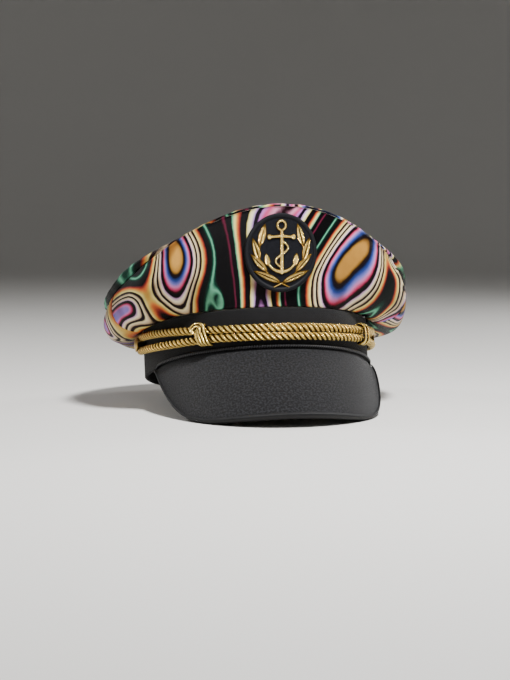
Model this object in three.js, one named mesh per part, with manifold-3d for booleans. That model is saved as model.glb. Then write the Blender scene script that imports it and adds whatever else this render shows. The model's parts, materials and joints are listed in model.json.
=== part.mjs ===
// A captain hat with a printed cloth crown, a stiff head band, a peak, a gold cord and a badge.
// Millimetres, +Z up. The hat lies as it rests by itself: on the two corners of its peak and on
// the band's bottom edge at the back. The front is at -Y, the wearer's left at +X.
// Inside the hat's own frame the band's bottom edge is level at z = 0, and an angle of 0 is the
// middle of the front.

import * as THREE from 'three';
import { mergeVertices } from 'three/addons/utils/BufferGeometryUtils.js';
import Module from 'manifold-3d';

const wasm = await Module();
wasm.setup();

const RAD = Math.PI / 180;
const V = (x, y, z) => new THREE.Vector3(x, y, z);

// Driving dimensions: the gaps that pieces keep
const SEAM_GAP = 0.3;
const CORD_GAP = 0.4;
const BINDING_GAP = 0.5;
const BADGE_GAP = 0.6;

// Driving dimensions: head band
const BAND_WIDTH = 172;
const BAND_LENGTH = 204;
const BAND_WALL = 3;
const BAND_TOP_FRONT = 34.2;
const BAND_TOP_BACK = 38;
const BAND_ARCH = 4.5;

// Driving dimensions: crown
const CLOTH = 2;
const RIM_WIDTH = 229;
const RIM_FRONT = 119;
const RIM_BACK = 128;
const RIM_HEIGHT_FRONT = 107;
const RIM_HEIGHT_SHOULDER = 82.8;
const RIM_HEIGHT_SIDE = 56;
const RIM_HEIGHT_BACK = 52;
const RIM_LEAN = 2.4;
const CROWN_SAG = 10.5;
const SIDE_SWELL = 5;
const FRONT_SWELL = 2;
const DOME = 14;
const EDGE_ROLL = 3.6;
const FOLD_DEPTH = 1.6;
const DENT_DEPTH = 5;

// Driving dimensions: visor
const VISOR_WIDTH = 168.6;
const VISOR_HORN = 29.7;
const VISOR_REACH = 121.3;
const VISOR_DROP = 51.8;
const VISOR_HALF_ANGLE = 74;
const VISOR_LIFT = 1;
const VISOR_BULGE = 3;
const VISOR_WALL = 2.4;
const BINDING_WIDTH = 1.8;
const BINDING_WALL = 0.8;
const WELT_DIAMETER = 2.2;

// Driving dimensions: cord, knots and side buttons
const CORD_DIAMETER = 6;
const BUTTON_ANGLE = 88;
const BUTTON_SHANK = 3.4;
const BUTTON_DIAMETER = 11.5;
const BUTTON_HEAD = 2;
const KNOT_LEFT_ANGLE = 49.5;
const KNOT_RIGHT_ANGLE = -37;
const KNOT_CORD = 2.6;

// Driving dimensions: badge
const BADGE_WIDTH = 53.5;
const BADGE_TALL = 57;
const BADGE_WALL = 1.8;
const BADGE_RIM = 0.8;
const RELIEF = 1.8;

// How finely the round forms are cut
const AROUND = 64;
const VISOR_STEPS = 40;
const CORD_SIDES = 8;
const CORD_STEPS = 30;
const TURN_STEPS = 6;
const FINE_SIDES = 6;
const BADGE_SIDES = 32;

// The side panel from the band seam to the rim seam. across and up are shares of the way from
// seam to seam, on the front and on the sides and back; sag is a share of CROWN_SAG; puff is a
// share of FRONT_SWELL or SIDE_SWELL.
const SIDE_ROWS = [
  { frontAcross: 0, frontUp: 0, frontPuff: 0, across: 0, up: 0, sag: 0, puff: 0 },
  { frontAcross: 0.12, frontUp: 0.13, frontPuff: 0.3, across: 0.16, up: 0.1, sag: 0.55, puff: 0 },
  { frontAcross: 0.26, frontUp: 0.28, frontPuff: 0.7, across: 0.36, up: 0.22, sag: 1, puff: 0.1 },
  { frontAcross: 0.42, frontUp: 0.44, frontPuff: 0.95, across: 0.58, up: 0.36, sag: 1.2, puff: 0.5 },
  { frontAcross: 0.58, frontUp: 0.6, frontPuff: 1, across: 0.76, up: 0.5, sag: 1.15, puff: 1 },
  { frontAcross: 0.74, frontUp: 0.75, frontPuff: 0.8, across: 0.88, up: 0.66, sag: 0.75, puff: 1.25 },
  { frontAcross: 0.88, frontUp: 0.88, frontPuff: 0.4, across: 0.96, up: 0.83, sag: 0.3, puff: 0.8 },
  { frontAcross: 1, frontUp: 1, frontPuff: 0, across: 1, up: 1, sag: 0, puff: 0 },
];

// The top panel from the rim seam to its middle. inward is a share of the way to the middle,
// roll a share of EDGE_ROLL and rise a share of DOME.
const TOP_ROWS = [
  { frontInward: 0, frontRise: 0, inward: 0, rise: 0, roll: 0 },
  { frontInward: 0.03, frontRise: 0.06, inward: 0.002, rise: 0.19, roll: 0.75 },
  { frontInward: 0.07, frontRise: 0.13, inward: 0.012, rise: 0.37, roll: 1.08 },
  { frontInward: 0.14, frontRise: 0.26, inward: 0.05, rise: 0.55, roll: 0.95 },
  { frontInward: 0.25, frontRise: 0.44, inward: 0.14, rise: 0.7, roll: 0.55 },
  { frontInward: 0.42, frontRise: 0.66, inward: 0.32, rise: 0.86, roll: 0.15 },
  { frontInward: 0.68, frontRise: 0.9, inward: 0.62, rise: 0.97, roll: 0 },
  { frontInward: 1, frontRise: 1, inward: 1, rise: 1, roll: 0 },
];

// Soft upright folds in the side panel: angle and half width in degrees, depth as a share of
// FOLD_DEPTH.
const FOLDS = [
  { angle: -148, width: 11, depth: 0.9 },
  { angle: -112, width: 8, depth: 1 },
  { angle: -84, width: 7, depth: 0.7 },
  { angle: 78, width: 8, depth: 0.8 },
  { angle: 104, width: 9, depth: 1 },
  { angle: 139, width: 10, depth: 0.7 },
  { angle: 176, width: 12, depth: 0.8 },
];

// Soft dents in the top panel: the middle of each as an angle and a share of the way out, its
// size as a share of the rim's half width, and its depth as a share of DENT_DEPTH.
const DENTS = [
  { angle: -60, out: 0.45, size: 0.3, depth: 0.8 },
  { angle: 50, out: 0.5, size: 0.26, depth: 0.6 },
  { angle: 160, out: 0.35, size: 0.34, depth: 1 },
];

// The cord's middle height as a share of the band's height, in front and at the side buttons.
const CORD_LOW_SHARE = 0.46;
const CORD_HIGH_SHARE = 0.65;

const bandA = BAND_WIDTH / 2;
const bandB = BAND_LENGTH / 2;
const rimA = RIM_WIDTH / 2;
const rimB = (RIM_FRONT + RIM_BACK) / 2;
const rimMiddle = (RIM_BACK - RIM_FRONT) / 2;
const cordR = CORD_DIAMETER / 2;

// Small helpers for shapes

const mix = (a, b, share) => a + (b - a) * share;

const steps = (count) => Array.from({ length: count + 1 }, (_, i) => i / count);

function smooth(low, high, value) {
  const share = Math.min(Math.max((value - low) / (high - low), 0), 1);
  return share * share * (3 - 2 * share);
}

// One column of a table read as a smooth curve through its rows.
function along(rows, column, share) {
  const last = rows.length - 1;
  const place = Math.min(Math.max(share, 0), 1) * last;
  const row = Math.min(Math.floor(place), last - 1);
  const rest = place - row;
  const read = (index) => rows[Math.min(Math.max(index, 0), last)][column];
  const [before, start, end, after] = [row - 1, row, row + 1, row + 2].map(read);
  const leave = (end - before) / 2;
  const arrive = (after - start) / 2;
  const bend = 3 * (end - start) - 2 * leave - arrive;
  const twist = leave + arrive - 2 * (end - start);
  return start + rest * (leave + rest * (bend + rest * twist));
}

// The unit normal of a surface(a, b) with b from 0 to 1.
function normalAt(surface, a, b) {
  const step = 0.01;
  const low = Math.max(b - step, 0);
  const high = Math.min(b + step, 1);
  const acrossWay = surface(a + step, b).sub(surface(a - step, b));
  const upWay = surface(a, high).sub(surface(a, low));
  return acrossWay.cross(upWay).normalize();
}

function solid(spots, faces) {
  let volume = 0;
  for (const [a, b, c] of faces) {
    volume += spots[a].dot(spots[b].clone().cross(spots[c]));
  }
  const outward = volume > 0 ? faces : faces.map(([a, b, c]) => [a, c, b]);
  const geometry = new THREE.BufferGeometry();
  const numbers = spots.flatMap((spot) => [spot.x, spot.y, spot.z]);
  geometry.setAttribute('position', new THREE.Float32BufferAttribute(numbers, 3));
  geometry.setIndex(outward.flat());
  return geometry;
}

// A closed body through sections that all have the same even number of corners. A looped run
// joins its last section to its first. An open run is closed at each end by a strip between the
// first half of the section's corners and the second half.
function skin(sections, looped) {
  const corners = sections[0].length;
  const count = sections.length;
  const faces = [];
  for (let i = 0; i < (looped ? count : count - 1); i++) {
    const here = i * corners;
    const next = ((i + 1) % count) * corners;
    for (let j = 0; j < corners; j++) {
      const k = (j + 1) % corners;
      faces.push([here + j, next + j, next + k], [here + j, next + k, here + k]);
    }
  }
  if (!looped) {
    const end = (count - 1) * corners;
    for (let j = 0; j < corners / 2 - 1; j++) {
      const pair = corners - 1 - j;
      faces.push([j, j + 1, pair - 1], [j, pair - 1, pair]);
      faces.push([end + j, end + pair - 1, end + j + 1], [end + j, end + pair, end + pair - 1]);
    }
  }
  return solid(sections.flat(), faces);
}

// A closed sheet made of two stacks of rings, outer and inner, that run from the edge inwards and
// end in a middle point each.
function dish(outerRings, outerMiddle, innerRings, innerMiddle) {
  const count = outerRings[0].length;
  const rings = [...innerRings.slice().reverse(), ...outerRings];
  const spots = [...rings.flat(), innerMiddle, outerMiddle];
  const faces = [];
  const last = (rings.length - 1) * count;
  for (let j = 0; j < count; j++) {
    const k = (j + 1) % count;
    for (let i = 0; i < rings.length - 1; i++) {
      const here = i * count;
      const next = here + count;
      faces.push([here + j, next + j, next + k], [here + j, next + k, here + k]);
    }
    faces.push([j, k, rings.length * count]);
    faces.push([last + k, last + j, rings.length * count + 1]);
  }
  return solid(spots, faces);
}

// Round sections along a path. Each step of the path has the point at and a direction side, square
// to the path, that fixes how the section is turned.
function tube(path, radius, sides, looped) {
  const sections = path.map(({ at, side }, i) => {
    const before = path[looped ? (i + path.length - 1) % path.length : Math.max(i - 1, 0)].at;
    const after = path[looped ? (i + 1) % path.length : Math.min(i + 1, path.length - 1)].at;
    const forward = after.clone().sub(before).normalize();
    const first = side.clone().addScaledVector(forward, -side.dot(forward)).normalize();
    const second = forward.clone().cross(first);
    return Array.from({ length: sides }, (_, j) => {
      const turn = ((j + 0.5) / sides) * 2 * Math.PI;
      return at
        .clone()
        .addScaledVector(first, radius * Math.cos(turn))
        .addScaledVector(second, radius * Math.sin(turn));
    });
  });
  return skin(sections, looped);
}

function toManifold(geometry) {
  const plain = geometry.clone();
  plain.deleteAttribute('normal');
  plain.deleteAttribute('uv');
  const merged = mergeVertices(plain, 1e-4);
  return new wasm.Manifold(
    new wasm.Mesh({
      numProp: 3,
      vertProperties: merged.attributes.position.array,
      triVerts: Uint32Array.from(merged.index.array),
    }),
  );
}

function fused(geometries) {
  return geometries.map(toManifold).reduce((all, one) => all.add(one));
}

// The points and triangles of a manifold body, each point moved by place().
function fromManifold(body, place) {
  const mesh = body.getMesh();
  const spots = [];
  for (let i = 0; i < mesh.vertProperties.length; i += mesh.numProp) {
    const [x, y, z] = mesh.vertProperties.slice(i, i + 3);
    spots.push(place(V(x, y, z)));
  }
  const faces = [];
  for (let i = 0; i < mesh.triVerts.length; i += 3) {
    faces.push(Array.from(mesh.triVerts.slice(i, i + 3)));
  }
  return solid(spots, faces);
}

const angles = Array.from({ length: AROUND }, (_, i) => (i / AROUND) * 2 * Math.PI);

// The hat lies in a group of its own, which is tilted at the end.
const hat = new THREE.Group();

function piece(name, geometry, color, roughness, metalness) {
  geometry.computeVertexNormals();
  const mesh = new THREE.Mesh(
    geometry,
    new THREE.MeshStandardMaterial({ color, roughness, metalness }),
  );
  mesh.name = name;
  hat.add(mesh);
  return mesh;
}

const PRINT = '#b8a890';
const DARK_CLOTH = '#1b1c1f';
const VISOR_CLOTH = '#34363a';
const TRIM = '#0c0d10';
const GOLD = '#c9a65c';

// Head band: a stiff oval strip that stands on its level bottom edge. The bottom edge rises in a
// low arch over the visor.

const bandTop = (angle) =>
  mix(BAND_TOP_FRONT, BAND_TOP_BACK, (1 - Math.cos(angle)) / 2);

function bandBottom(angle) {
  const turned = Math.abs(Math.atan2(Math.sin(angle), Math.cos(angle))) / (VISOR_HALF_ANGLE * RAD);
  return turned < 1 ? BAND_ARCH * (1 - turned ** 4) : 0;
}

// The direction that leaves the band square to its face.
const bandOut = (angle) => V(Math.sin(angle) / bandA, -Math.cos(angle) / bandB, 0).normalize();

// A point off the band's outer face.
function offBand(angle, out, height) {
  return V(bandA * Math.sin(angle), -bandB * Math.cos(angle), height)
    .addScaledVector(bandOut(angle), out);
}

// How far the band's outer face runs for each radian at an angle.
const bandPace = (angle) => Math.hypot(bandA * Math.cos(angle), bandB * Math.sin(angle));

piece(
  'headband',
  skin(
    angles.map((angle) => [
      offBand(angle, 0, bandBottom(angle)),
      offBand(angle, 0, bandTop(angle)),
      offBand(angle, -BAND_WALL, bandTop(angle)),
      offBand(angle, -BAND_WALL, bandBottom(angle)),
    ]),
    true,
  ),
  DARK_CLOTH,
  0.85,
  0,
);

// Crown: a side panel that leans forward in front and sags and puffs at the sides and back, and
// a top panel that is sewn to it along the rim.

const SIDE_START_ANGLE = 20;
const SIDE_FULL_ANGLE = 70;

// 0 on the front of the crown, 1 on its sides and back.
function sideways(angle) {
  const turned = Math.abs(Math.atan2(Math.sin(angle), Math.cos(angle))) / RAD;
  return smooth(SIDE_START_ANGLE, SIDE_FULL_ANGLE, turned);
}

// The crown's oval in plan, which leans a little to the wearer's left. out is 1 on the rim.
function onRim(angle, out) {
  return V(RIM_LEAN + rimA * out * Math.sin(angle), rimMiddle - rimB * out * Math.cos(angle), 0);
}

const rimOut = (angle) => V(Math.sin(angle) / rimA, -Math.cos(angle) / rimB, 0).normalize();

// The rim's height is a sum of four waves that meets the four named heights.
const rimMean = ((RIM_HEIGHT_FRONT + RIM_HEIGHT_BACK) / 2 + RIM_HEIGHT_SIDE) / 2;
const rimSaddle = ((RIM_HEIGHT_FRONT + RIM_HEIGHT_BACK) / 2 - RIM_HEIGHT_SIDE) / 2;
const rimSlope = (RIM_HEIGHT_FRONT - RIM_HEIGHT_BACK) / 2;
const rimShoulder = (RIM_HEIGHT_SHOULDER - rimMean) * Math.SQRT2;
const rimWaves = [rimMean, (rimSlope + rimShoulder) / 2, rimSaddle, (rimSlope - rimShoulder) / 2];

// Inside the rim each wave dies away towards the middle, as a stretched cloth does.
function rimHeight(angle, out) {
  return rimWaves.reduce((sum, wave, n) => sum + wave * out ** n * Math.cos(n * angle), 0);
}

function foldAt(angle) {
  return FOLDS.reduce((sum, fold) => {
    const apart = angle - fold.angle * RAD;
    const off = Math.atan2(Math.sin(apart), Math.cos(apart)) / (fold.width * RAD);
    return sum + fold.depth * Math.exp(-off * off);
  }, 0);
}

function sidePoint(angle, share) {
  const side = sideways(angle);
  const read = (front, back) =>
    mix(along(SIDE_ROWS, front, share), along(SIDE_ROWS, back, share), side);
  const across = read('frontAcross', 'across');
  const low = offBand(angle, 0, 0);
  const rim = onRim(angle, 1);
  const puff = mix(
    FRONT_SWELL * along(SIDE_ROWS, 'frontPuff', share),
    SIDE_SWELL * along(SIDE_ROWS, 'puff', share),
    side,
  );
  const fold = FOLD_DEPTH * foldAt(angle) * Math.sin(Math.PI * share) ** 2;
  const point = low.lerp(rim, across).addScaledVector(rimOut(angle), puff - fold);
  const bottom = bandTop(angle) + SEAM_GAP;
  const sag = CROWN_SAG * side * along(SIDE_ROWS, 'sag', share);
  point.z = mix(bottom, rimHeight(angle, 1), read('frontUp', 'up')) - sag;
  return point;
}

function topPoint(angle, share) {
  const side = sideways(angle);
  const read = (front, back) =>
    mix(along(TOP_ROWS, front, share), along(TOP_ROWS, back, share), side);
  const out = 1 - read('frontInward', 'inward');
  const point = onRim(angle, out);
  const dent = DENTS.reduce((sum, row) => {
    const dx = out * Math.sin(angle) - row.out * Math.sin(row.angle * RAD);
    const dy = out * Math.cos(angle) - row.out * Math.cos(row.angle * RAD);
    return sum + row.depth * Math.exp(-(dx * dx + dy * dy) / (row.size * row.size));
  }, 0);
  point.z = rimHeight(angle, out) + DOME * read('frontRise', 'rise')
    - DENT_DEPTH * dent * (1 - out ** 4);
  const roll = EDGE_ROLL * side * along(TOP_ROWS, 'roll', share);
  return point.addScaledVector(rimOut(angle), roll);
}

// At the rim both panels end in a mitre, which halves the corner between them.
function mitre(angle) {
  const sideNormal = normalAt(sidePoint, angle, 1);
  const middle = sideNormal.clone().add(normalAt(topPoint, angle, 0)).normalize();
  const seam = V(rimA * Math.cos(angle), rimB * Math.sin(angle), 0);
  const lift = middle.clone().cross(seam).normalize();
  const stretch = 1 / Math.max(middle.dot(sideNormal), 0.5);
  return { depth: middle.multiplyScalar(-CLOTH * stretch), lift };
}

piece(
  'crown_side',
  skin(
    angles.map((angle) => {
      const shares = steps(SIDE_ROWS.length - 1);
      const outer = shares.map((share) => sidePoint(angle, share));
      const inner = outer.map((spot, i) =>
        spot.clone().addScaledVector(normalAt(sidePoint, angle, shares[i]), -CLOTH));
      inner[inner.length - 1] = outer[outer.length - 1].clone().add(mitre(angle).depth);
      return [...outer, ...inner.reverse()];
    }),
    true,
  ),
  PRINT,
  0.55,
  0,
);

{
  const shares = steps(TOP_ROWS.length - 1).slice(0, -1);
  const outer = shares.map((share) => angles.map((angle) => topPoint(angle, share)));
  const inner = shares.map((share, row) =>
    angles.map((angle, i) => {
      if (row === 0) {
        return outer[0][i].clone().add(mitre(angle).depth);
      }
      return outer[row][i].clone().addScaledVector(normalAt(topPoint, angle, share), -CLOTH);
    }));
  angles.forEach((angle, i) => {
    const lift = mitre(angle).lift.multiplyScalar(SEAM_GAP);
    outer[0][i].add(lift);
    inner[0][i].add(lift);
  });
  const middle = topPoint(0, 1);
  const under = middle.clone().add(V(0, 0, -CLOTH));
  piece('crown_top', dish(outer, middle, inner, under), PRINT, 0.55, 0);
}

// Visor: a stiff peak whose inner edge seats under the band and whose outer edge drops to the
// surface that the hat rests on. The outline is the outer edge of its binding.

const VISOR_CORNER = 9;
const VISOR_ROUND = 1.4;
const VISOR_END_ANGLE = 87;

// Stations along the visor, closer together towards its two horns.
const visorTurns = steps(VISOR_STEPS).map((share) =>
  VISOR_END_ANGLE * Math.sin((share - 0.5) * Math.PI) * RAD);

function visorOutline(turn) {
  const corner = 1 - Math.abs(Math.sin(turn)) ** VISOR_CORNER;
  const drop = VISOR_DROP * corner ** (1 / VISOR_ROUND);
  return V(
    (VISOR_WIDTH / 2) * Math.sin(turn),
    -VISOR_HORN - VISOR_REACH * Math.cos(turn),
    -drop + VISOR_LIFT * Math.cos(turn) ** 4,
  );
}

const visorSeat = (turn) => {
  const angle = (turn * VISOR_HALF_ANGLE) / 90;
  return offBand(angle, 0, bandBottom(angle) - SEAM_GAP);
};

// share 0 is the inner edge, 1 the outer edge of the stiff board, inside the binding.
function visorPoint(turn, share) {
  const start = visorSeat(turn);
  const end = visorOutline(turn);
  const whole = end.clone().sub(start);
  const board = 1 - (BINDING_WALL + BINDING_GAP) / whole.length();
  const out = bandOut((turn * VISOR_HALF_ANGLE) / 90);
  const bulge = VISOR_BULGE * Math.sin(Math.PI * share) * Math.cos(turn);
  return start.addScaledVector(whole, board * share).addScaledVector(out, bulge);
}

const visorNormal = (turn, share) => normalAt(visorPoint, turn, share);

// Where the binding's lip ends, as a share of the way from the inner edge. At the horns, where
// the board is short, the lip covers half of it.
function lipShare(turn) {
  const board = visorPoint(turn, 1).distanceTo(visorPoint(turn, 0));
  return 1 - Math.min(BINDING_WIDTH / board, 0.5);
}

piece(
  'visor',
  skin(
    visorTurns.map((turn) => {
      const shares = [...steps(3).map((share) => share * lipShare(turn)), 1];
      const outer = shares.map((share) => visorPoint(turn, share));
      const inner = outer.map((spot, i) =>
        spot.clone().addScaledVector(visorNormal(turn, shares[i]), VISOR_WALL));
      const out = bandOut((turn * VISOR_HALF_ANGLE) / 90);
      inner[0] = outer[0].clone().addScaledVector(out, -BAND_WALL);
      return [...outer, ...inner.reverse()];
    }),
    false,
  ),
  VISOR_CLOTH,
  0.8,
  0,
);

// Binding: a strip folded round the visor's outer edge.
const bindingSections = visorTurns.map((turn) => {
  const back = visorPoint(turn, 0.97).sub(visorPoint(turn, 1)).normalize();
  const at = (share, inward, below) =>
    visorPoint(turn, share)
      .addScaledVector(back, inward)
      .addScaledVector(visorNormal(turn, share), below);
  const lip = lipShare(turn);
  const top = -BINDING_GAP;
  const bottom = VISOR_WALL + BINDING_GAP;
  const tip = -BINDING_GAP - BINDING_WALL;
  return [
    at(lip, 0, top - BINDING_WALL),
    at(1, 0, top - BINDING_WALL),
    at(1, tip, mix(top, bottom, 0.25)),
    at(1, tip, mix(top, bottom, 0.75)),
    at(1, 0, bottom + BINDING_WALL),
    at(lip, 0, bottom + BINDING_WALL),
    at(lip, 0, bottom),
    at(1, -BINDING_GAP, bottom),
    at(1, -BINDING_GAP, mix(top, bottom, 0.75)),
    at(1, -BINDING_GAP, mix(top, bottom, 0.25)),
    at(1, -BINDING_GAP, top),
    at(lip, 0, top),
  ];
});
piece('visor_binding', skin(bindingSections, false), TRIM, 0.35, 0);

// Welt: thin piping on the band, just above the joint with the visor.
const weltR = WELT_DIAMETER / 2;
const WELT_SHARE = 0.95;
const weltPath = visorTurns.map((turn) => {
  const angle = (turn * WELT_SHARE * VISOR_HALF_ANGLE) / 90;
  return {
    at: offBand(angle, weltR + SEAM_GAP, bandBottom(angle) + weltR),
    side: bandOut(angle),
  };
});
piece('visor_welt', tube(weltPath, weltR, FINE_SIDES, false), TRIM, 0.3, 0);

// Cord: one loop that lies round the band in two strands and turns back round a button at each
// side. Between the knots the strands touch.

const cordOut = cordR + CORD_GAP;
const tightSpread = cordR + SEAM_GAP / 2;
const wideSpread = BUTTON_SHANK / 2 + CORD_GAP + cordR;
function cordHeight(angle) {
  const way = (1 - Math.cos(angle)) / (1 - Math.cos(BUTTON_ANGLE * RAD));
  return mix(CORD_LOW_SHARE, CORD_HIGH_SHARE, way) * bandTop(angle);
}

// Half of the way between the two strands' middle lines.
function cordSpread(angle) {
  const knot = (angle > 0 ? KNOT_LEFT_ANGLE : KNOT_RIGHT_ANGLE) * RAD;
  const button = Math.sign(knot) * BUTTON_ANGLE * RAD;
  const way = Math.min(Math.max((angle - knot) / (button - knot), 0), 1);
  return mix(tightSpread, wideSpread, 1 - (1 - way) ** 3);
}

const cordPath = [];
for (const hand of [1, -1]) {
  for (let i = 0; i <= CORD_STEPS; i++) {
    const angle = mix(-hand, hand, i / CORD_STEPS) * BUTTON_ANGLE * RAD;
    const height = cordHeight(angle) + hand * cordSpread(angle);
    cordPath.push({ at: offBand(angle, cordOut, height), side: bandOut(angle) });
  }
  const button = hand * BUTTON_ANGLE * RAD;
  for (let i = 1; i < TURN_STEPS; i++) {
    const turn = (i / TURN_STEPS) * Math.PI;
    const angle = button + (hand * wideSpread * Math.sin(turn)) / bandPace(button);
    const height = cordHeight(button) + hand * wideSpread * Math.cos(turn);
    cordPath.push({ at: offBand(angle, cordOut, height), side: bandOut(angle) });
  }
}
piece('chin_cord', tube(cordPath, cordR, CORD_SIDES, true), GOLD, 0.35, 0.7);

// Knots: turns of the same cord round both strands, open towards the band. start is where a turn
// begins along the band, lean how far it runs along it on its way down, and lift how far its top
// stands above the strand, all as shares of KNOT_CORD.
const KNOTS = [
  {
    name: 'knot_right',
    angle: KNOT_RIGHT_ANGLE,
    turns: [
      { start: -1.9, lean: 0.9, lift: 0.5 },
      { start: -1.25, lean: 1.05, lift: 0.25 },
      { start: -0.6, lean: 1.2, lift: 0 },
      { start: 0.05, lean: 1.35, lift: 0 },
    ],
  },
  {
    name: 'knot_left',
    angle: KNOT_LEFT_ANGLE,
    turns: [
      { start: -0.85, lean: 0.2, lift: 0 },
      { start: -0.15, lean: 0.15, lift: 0.2 },
      { start: 0.55, lean: 0.1, lift: 0.1 },
    ],
  },
];
const KNOT_STEPS = 10;
const KNOT_WRAP = 1.16;
const knotR = KNOT_CORD / 2;
const knotRound = cordR + SEAM_GAP + knotR;

for (const { name, angle, turns } of KNOTS) {
  const middle = angle * RAD;
  const tubes = turns.map(({ start, lean, lift }) => {
    const path = steps(KNOT_STEPS).map((share) => {
      const turn = (0.5 - share) * Math.PI * KNOT_WRAP;
      const rise = Math.sin(turn);
      const strand = tightSpread * Math.sign(rise) * Math.min(Math.abs(rise) * 2, 1);
      const loop = turn > 0 ? KNOT_CORD * lift * rise : 0;
      const out = Math.max(cordOut + knotRound * Math.cos(turn), knotR + SEAM_GAP);
      const where = middle + (KNOT_CORD * (start + lean * share)) / bandPace(middle);
      const height = cordHeight(where) + strand + knotRound * rise + loop;
      return { at: offBand(where, out, height), side: V(Math.cos(where), Math.sin(where), 0) };
    });
    return tube(path, knotR, FINE_SIDES, false);
  });
  piece(name, fromManifold(fused(tubes), (spot) => spot), GOLD, 0.35, 0.7);
}

// Side buttons: plain metal buttons whose shanks the cord turns round.
const shankLength = CORD_DIAMETER + 2 * CORD_GAP - SEAM_GAP;
const headR = BUTTON_DIAMETER / 2;
const buttonProfile = [
  [0, 0],
  [BUTTON_SHANK / 2, 0],
  [BUTTON_SHANK / 2, shankLength],
  [headR, shankLength],
  [headR, shankLength + BUTTON_HEAD * 0.35],
  [headR * 0.75, shankLength + BUTTON_HEAD * 0.8],
  [0, shankLength + BUTTON_HEAD],
].map(([radius, height]) => new THREE.Vector2(radius, height));

for (const [name, hand] of [['side_button_left', 1], ['side_button_right', -1]]) {
  const angle = hand * BUTTON_ANGLE * RAD;
  const button = piece(name, new THREE.LatheGeometry(buttonProfile, 16), GOLD, 0.3, 0.9);
  button.quaternion.setFromUnitVectors(V(0, 1, 0), bandOut(angle));
  button.position.copy(offBand(angle, SEAM_GAP, cordHeight(angle)));
}

// Badge: a round patch bent onto the crown's front, with a raised rim, and raised embroidery. Its
// middle lies at a share of the way from the band seam to the rim seam.

const badgeR = BADGE_TALL / 2;
const badgeOval = BADGE_WIDTH / BADGE_TALL;
const BADGE_SHARE = 0.5;
const badgeMiddle = sidePoint(0, BADGE_SHARE);
const badgeAbove = sidePoint(0, BADGE_SHARE + 0.02);
const badgeUp = badgeAbove.sub(sidePoint(0, BADGE_SHARE - 0.02)).normalize();
const badgeOut = V(1, 0, 0).cross(badgeUp);

// The point a height above the crown's front, right across and up from the badge's middle. The
// badge is drawn round and is a little narrower than it is tall.
function onBadge(drawn, up, height) {
  const across = drawn * badgeOval;
  let angle = across / rimA;
  let share = BADGE_SHARE + up / (RIM_HEIGHT_FRONT - BAND_TOP_FRONT);
  const miss = (a, b) => {
    const gap = sidePoint(a, b).sub(badgeMiddle);
    return [gap.x - across, gap.dot(badgeUp) - up];
  };
  const step = 0.001;
  for (let i = 0; i < 5; i++) {
    const [x, y] = miss(angle, share);
    const [xa, ya] = miss(angle + step, share);
    const [xs, ys] = miss(angle, share + step);
    const [m11, m12, m21, m22] = [xa - x, xs - x, ya - y, ys - y].map((d) => d / step);
    const area = m11 * m22 - m12 * m21;
    angle -= (x * m22 - y * m12) / area;
    share -= (y * m11 - x * m21) / area;
  }
  const ground = sidePoint(angle, share).sub(badgeMiddle).dot(badgeOut);
  return badgeMiddle
    .clone()
    .addScaledVector(V(1, 0, 0), across)
    .addScaledVector(badgeUp, up)
    .addScaledVector(badgeOut, ground + height);
}

// The patch in rings from its edge to its middle: radius as a share of the badge's, and how far
// the ring stands up, as a share of BADGE_RIM.
const PATCH_ROWS = [
  { radius: 1, stand: 0.2 },
  { radius: 0.97, stand: 1 },
  { radius: 0.93, stand: 0.9 },
  { radius: 0.91, stand: 0 },
  { radius: 0.5, stand: 0 },
];
const badgeAngles = Array.from({ length: BADGE_SIDES }, (_, i) => (i / BADGE_SIDES) * 2 * Math.PI);

function patchRing({ radius }, height) {
  return badgeAngles.map((turn) =>
    onBadge(badgeR * radius * Math.cos(turn), badgeR * radius * Math.sin(turn), height));
}
const patchTop = BADGE_GAP + BADGE_WALL;
piece(
  'badge_patch',
  dish(
    PATCH_ROWS.map((row) => patchRing(row, patchTop + BADGE_RIM * row.stand)),
    onBadge(0, 0, patchTop),
    [PATCH_ROWS[0], PATCH_ROWS[4]].map((row) => patchRing(row, BADGE_GAP)),
    onBadge(0, 0, BADGE_GAP),
  ),
  DARK_CLOTH,
  0.9,
  0,
);

// The embroidery is drawn flat, in shares of the badge's radius, cut level below and then bent
// onto the patch.

// A pointed leaf that lies flat from a point in a direction in degrees.
function leaf(x, y, heading, length, width) {
  const profile = [[0, 0], [0.62, 0.18], [1, 0.45], [0.72, 0.75], [0, 1]].map(
    ([radius, way]) => new THREE.Vector2((radius * width) / 2, way * length));
  const shape = new THREE.LatheGeometry(profile, 8);
  shape.scale(1, 1, (RELIEF * 2) / (width * badgeR));
  shape.rotateZ((heading - 90) * RAD);
  shape.translate(x, y, 0);
  return shape.scale(badgeR, badgeR, badgeR);
}

// A rounded bar through points.
function bar(points, width, sides = FINE_SIDES) {
  const path = points.map(([x, y]) => ({ at: V(x * badgeR, y * badgeR, 0), side: V(0, 0, 1) }));
  const shape = tube(path, (width * badgeR) / 2, sides, false);
  return shape.scale(1, 1, (RELIEF * 2) / (width * badgeR));
}

function embroidery(name, shapes) {
  const slab = new THREE.BoxGeometry(BADGE_TALL, BADGE_TALL, RELIEF * 2);
  const upper = toManifold(slab.translate(0, 0, RELIEF));
  const relief = fused(shapes).intersect(upper);
  const seat = patchTop + SEAM_GAP;
  piece(name, fromManifold(relief, ({ x, y, z }) => onBadge(x, y, seat + z)), GOLD, 0.35, 0.7);
}

const arc = (x, y, radius, from, to, count) =>
  steps(count).map((share) => {
    const turn = mix(from, to, share) * RAD;
    return [x + radius * Math.cos(turn), y + radius * Math.sin(turn)];
  });

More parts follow.
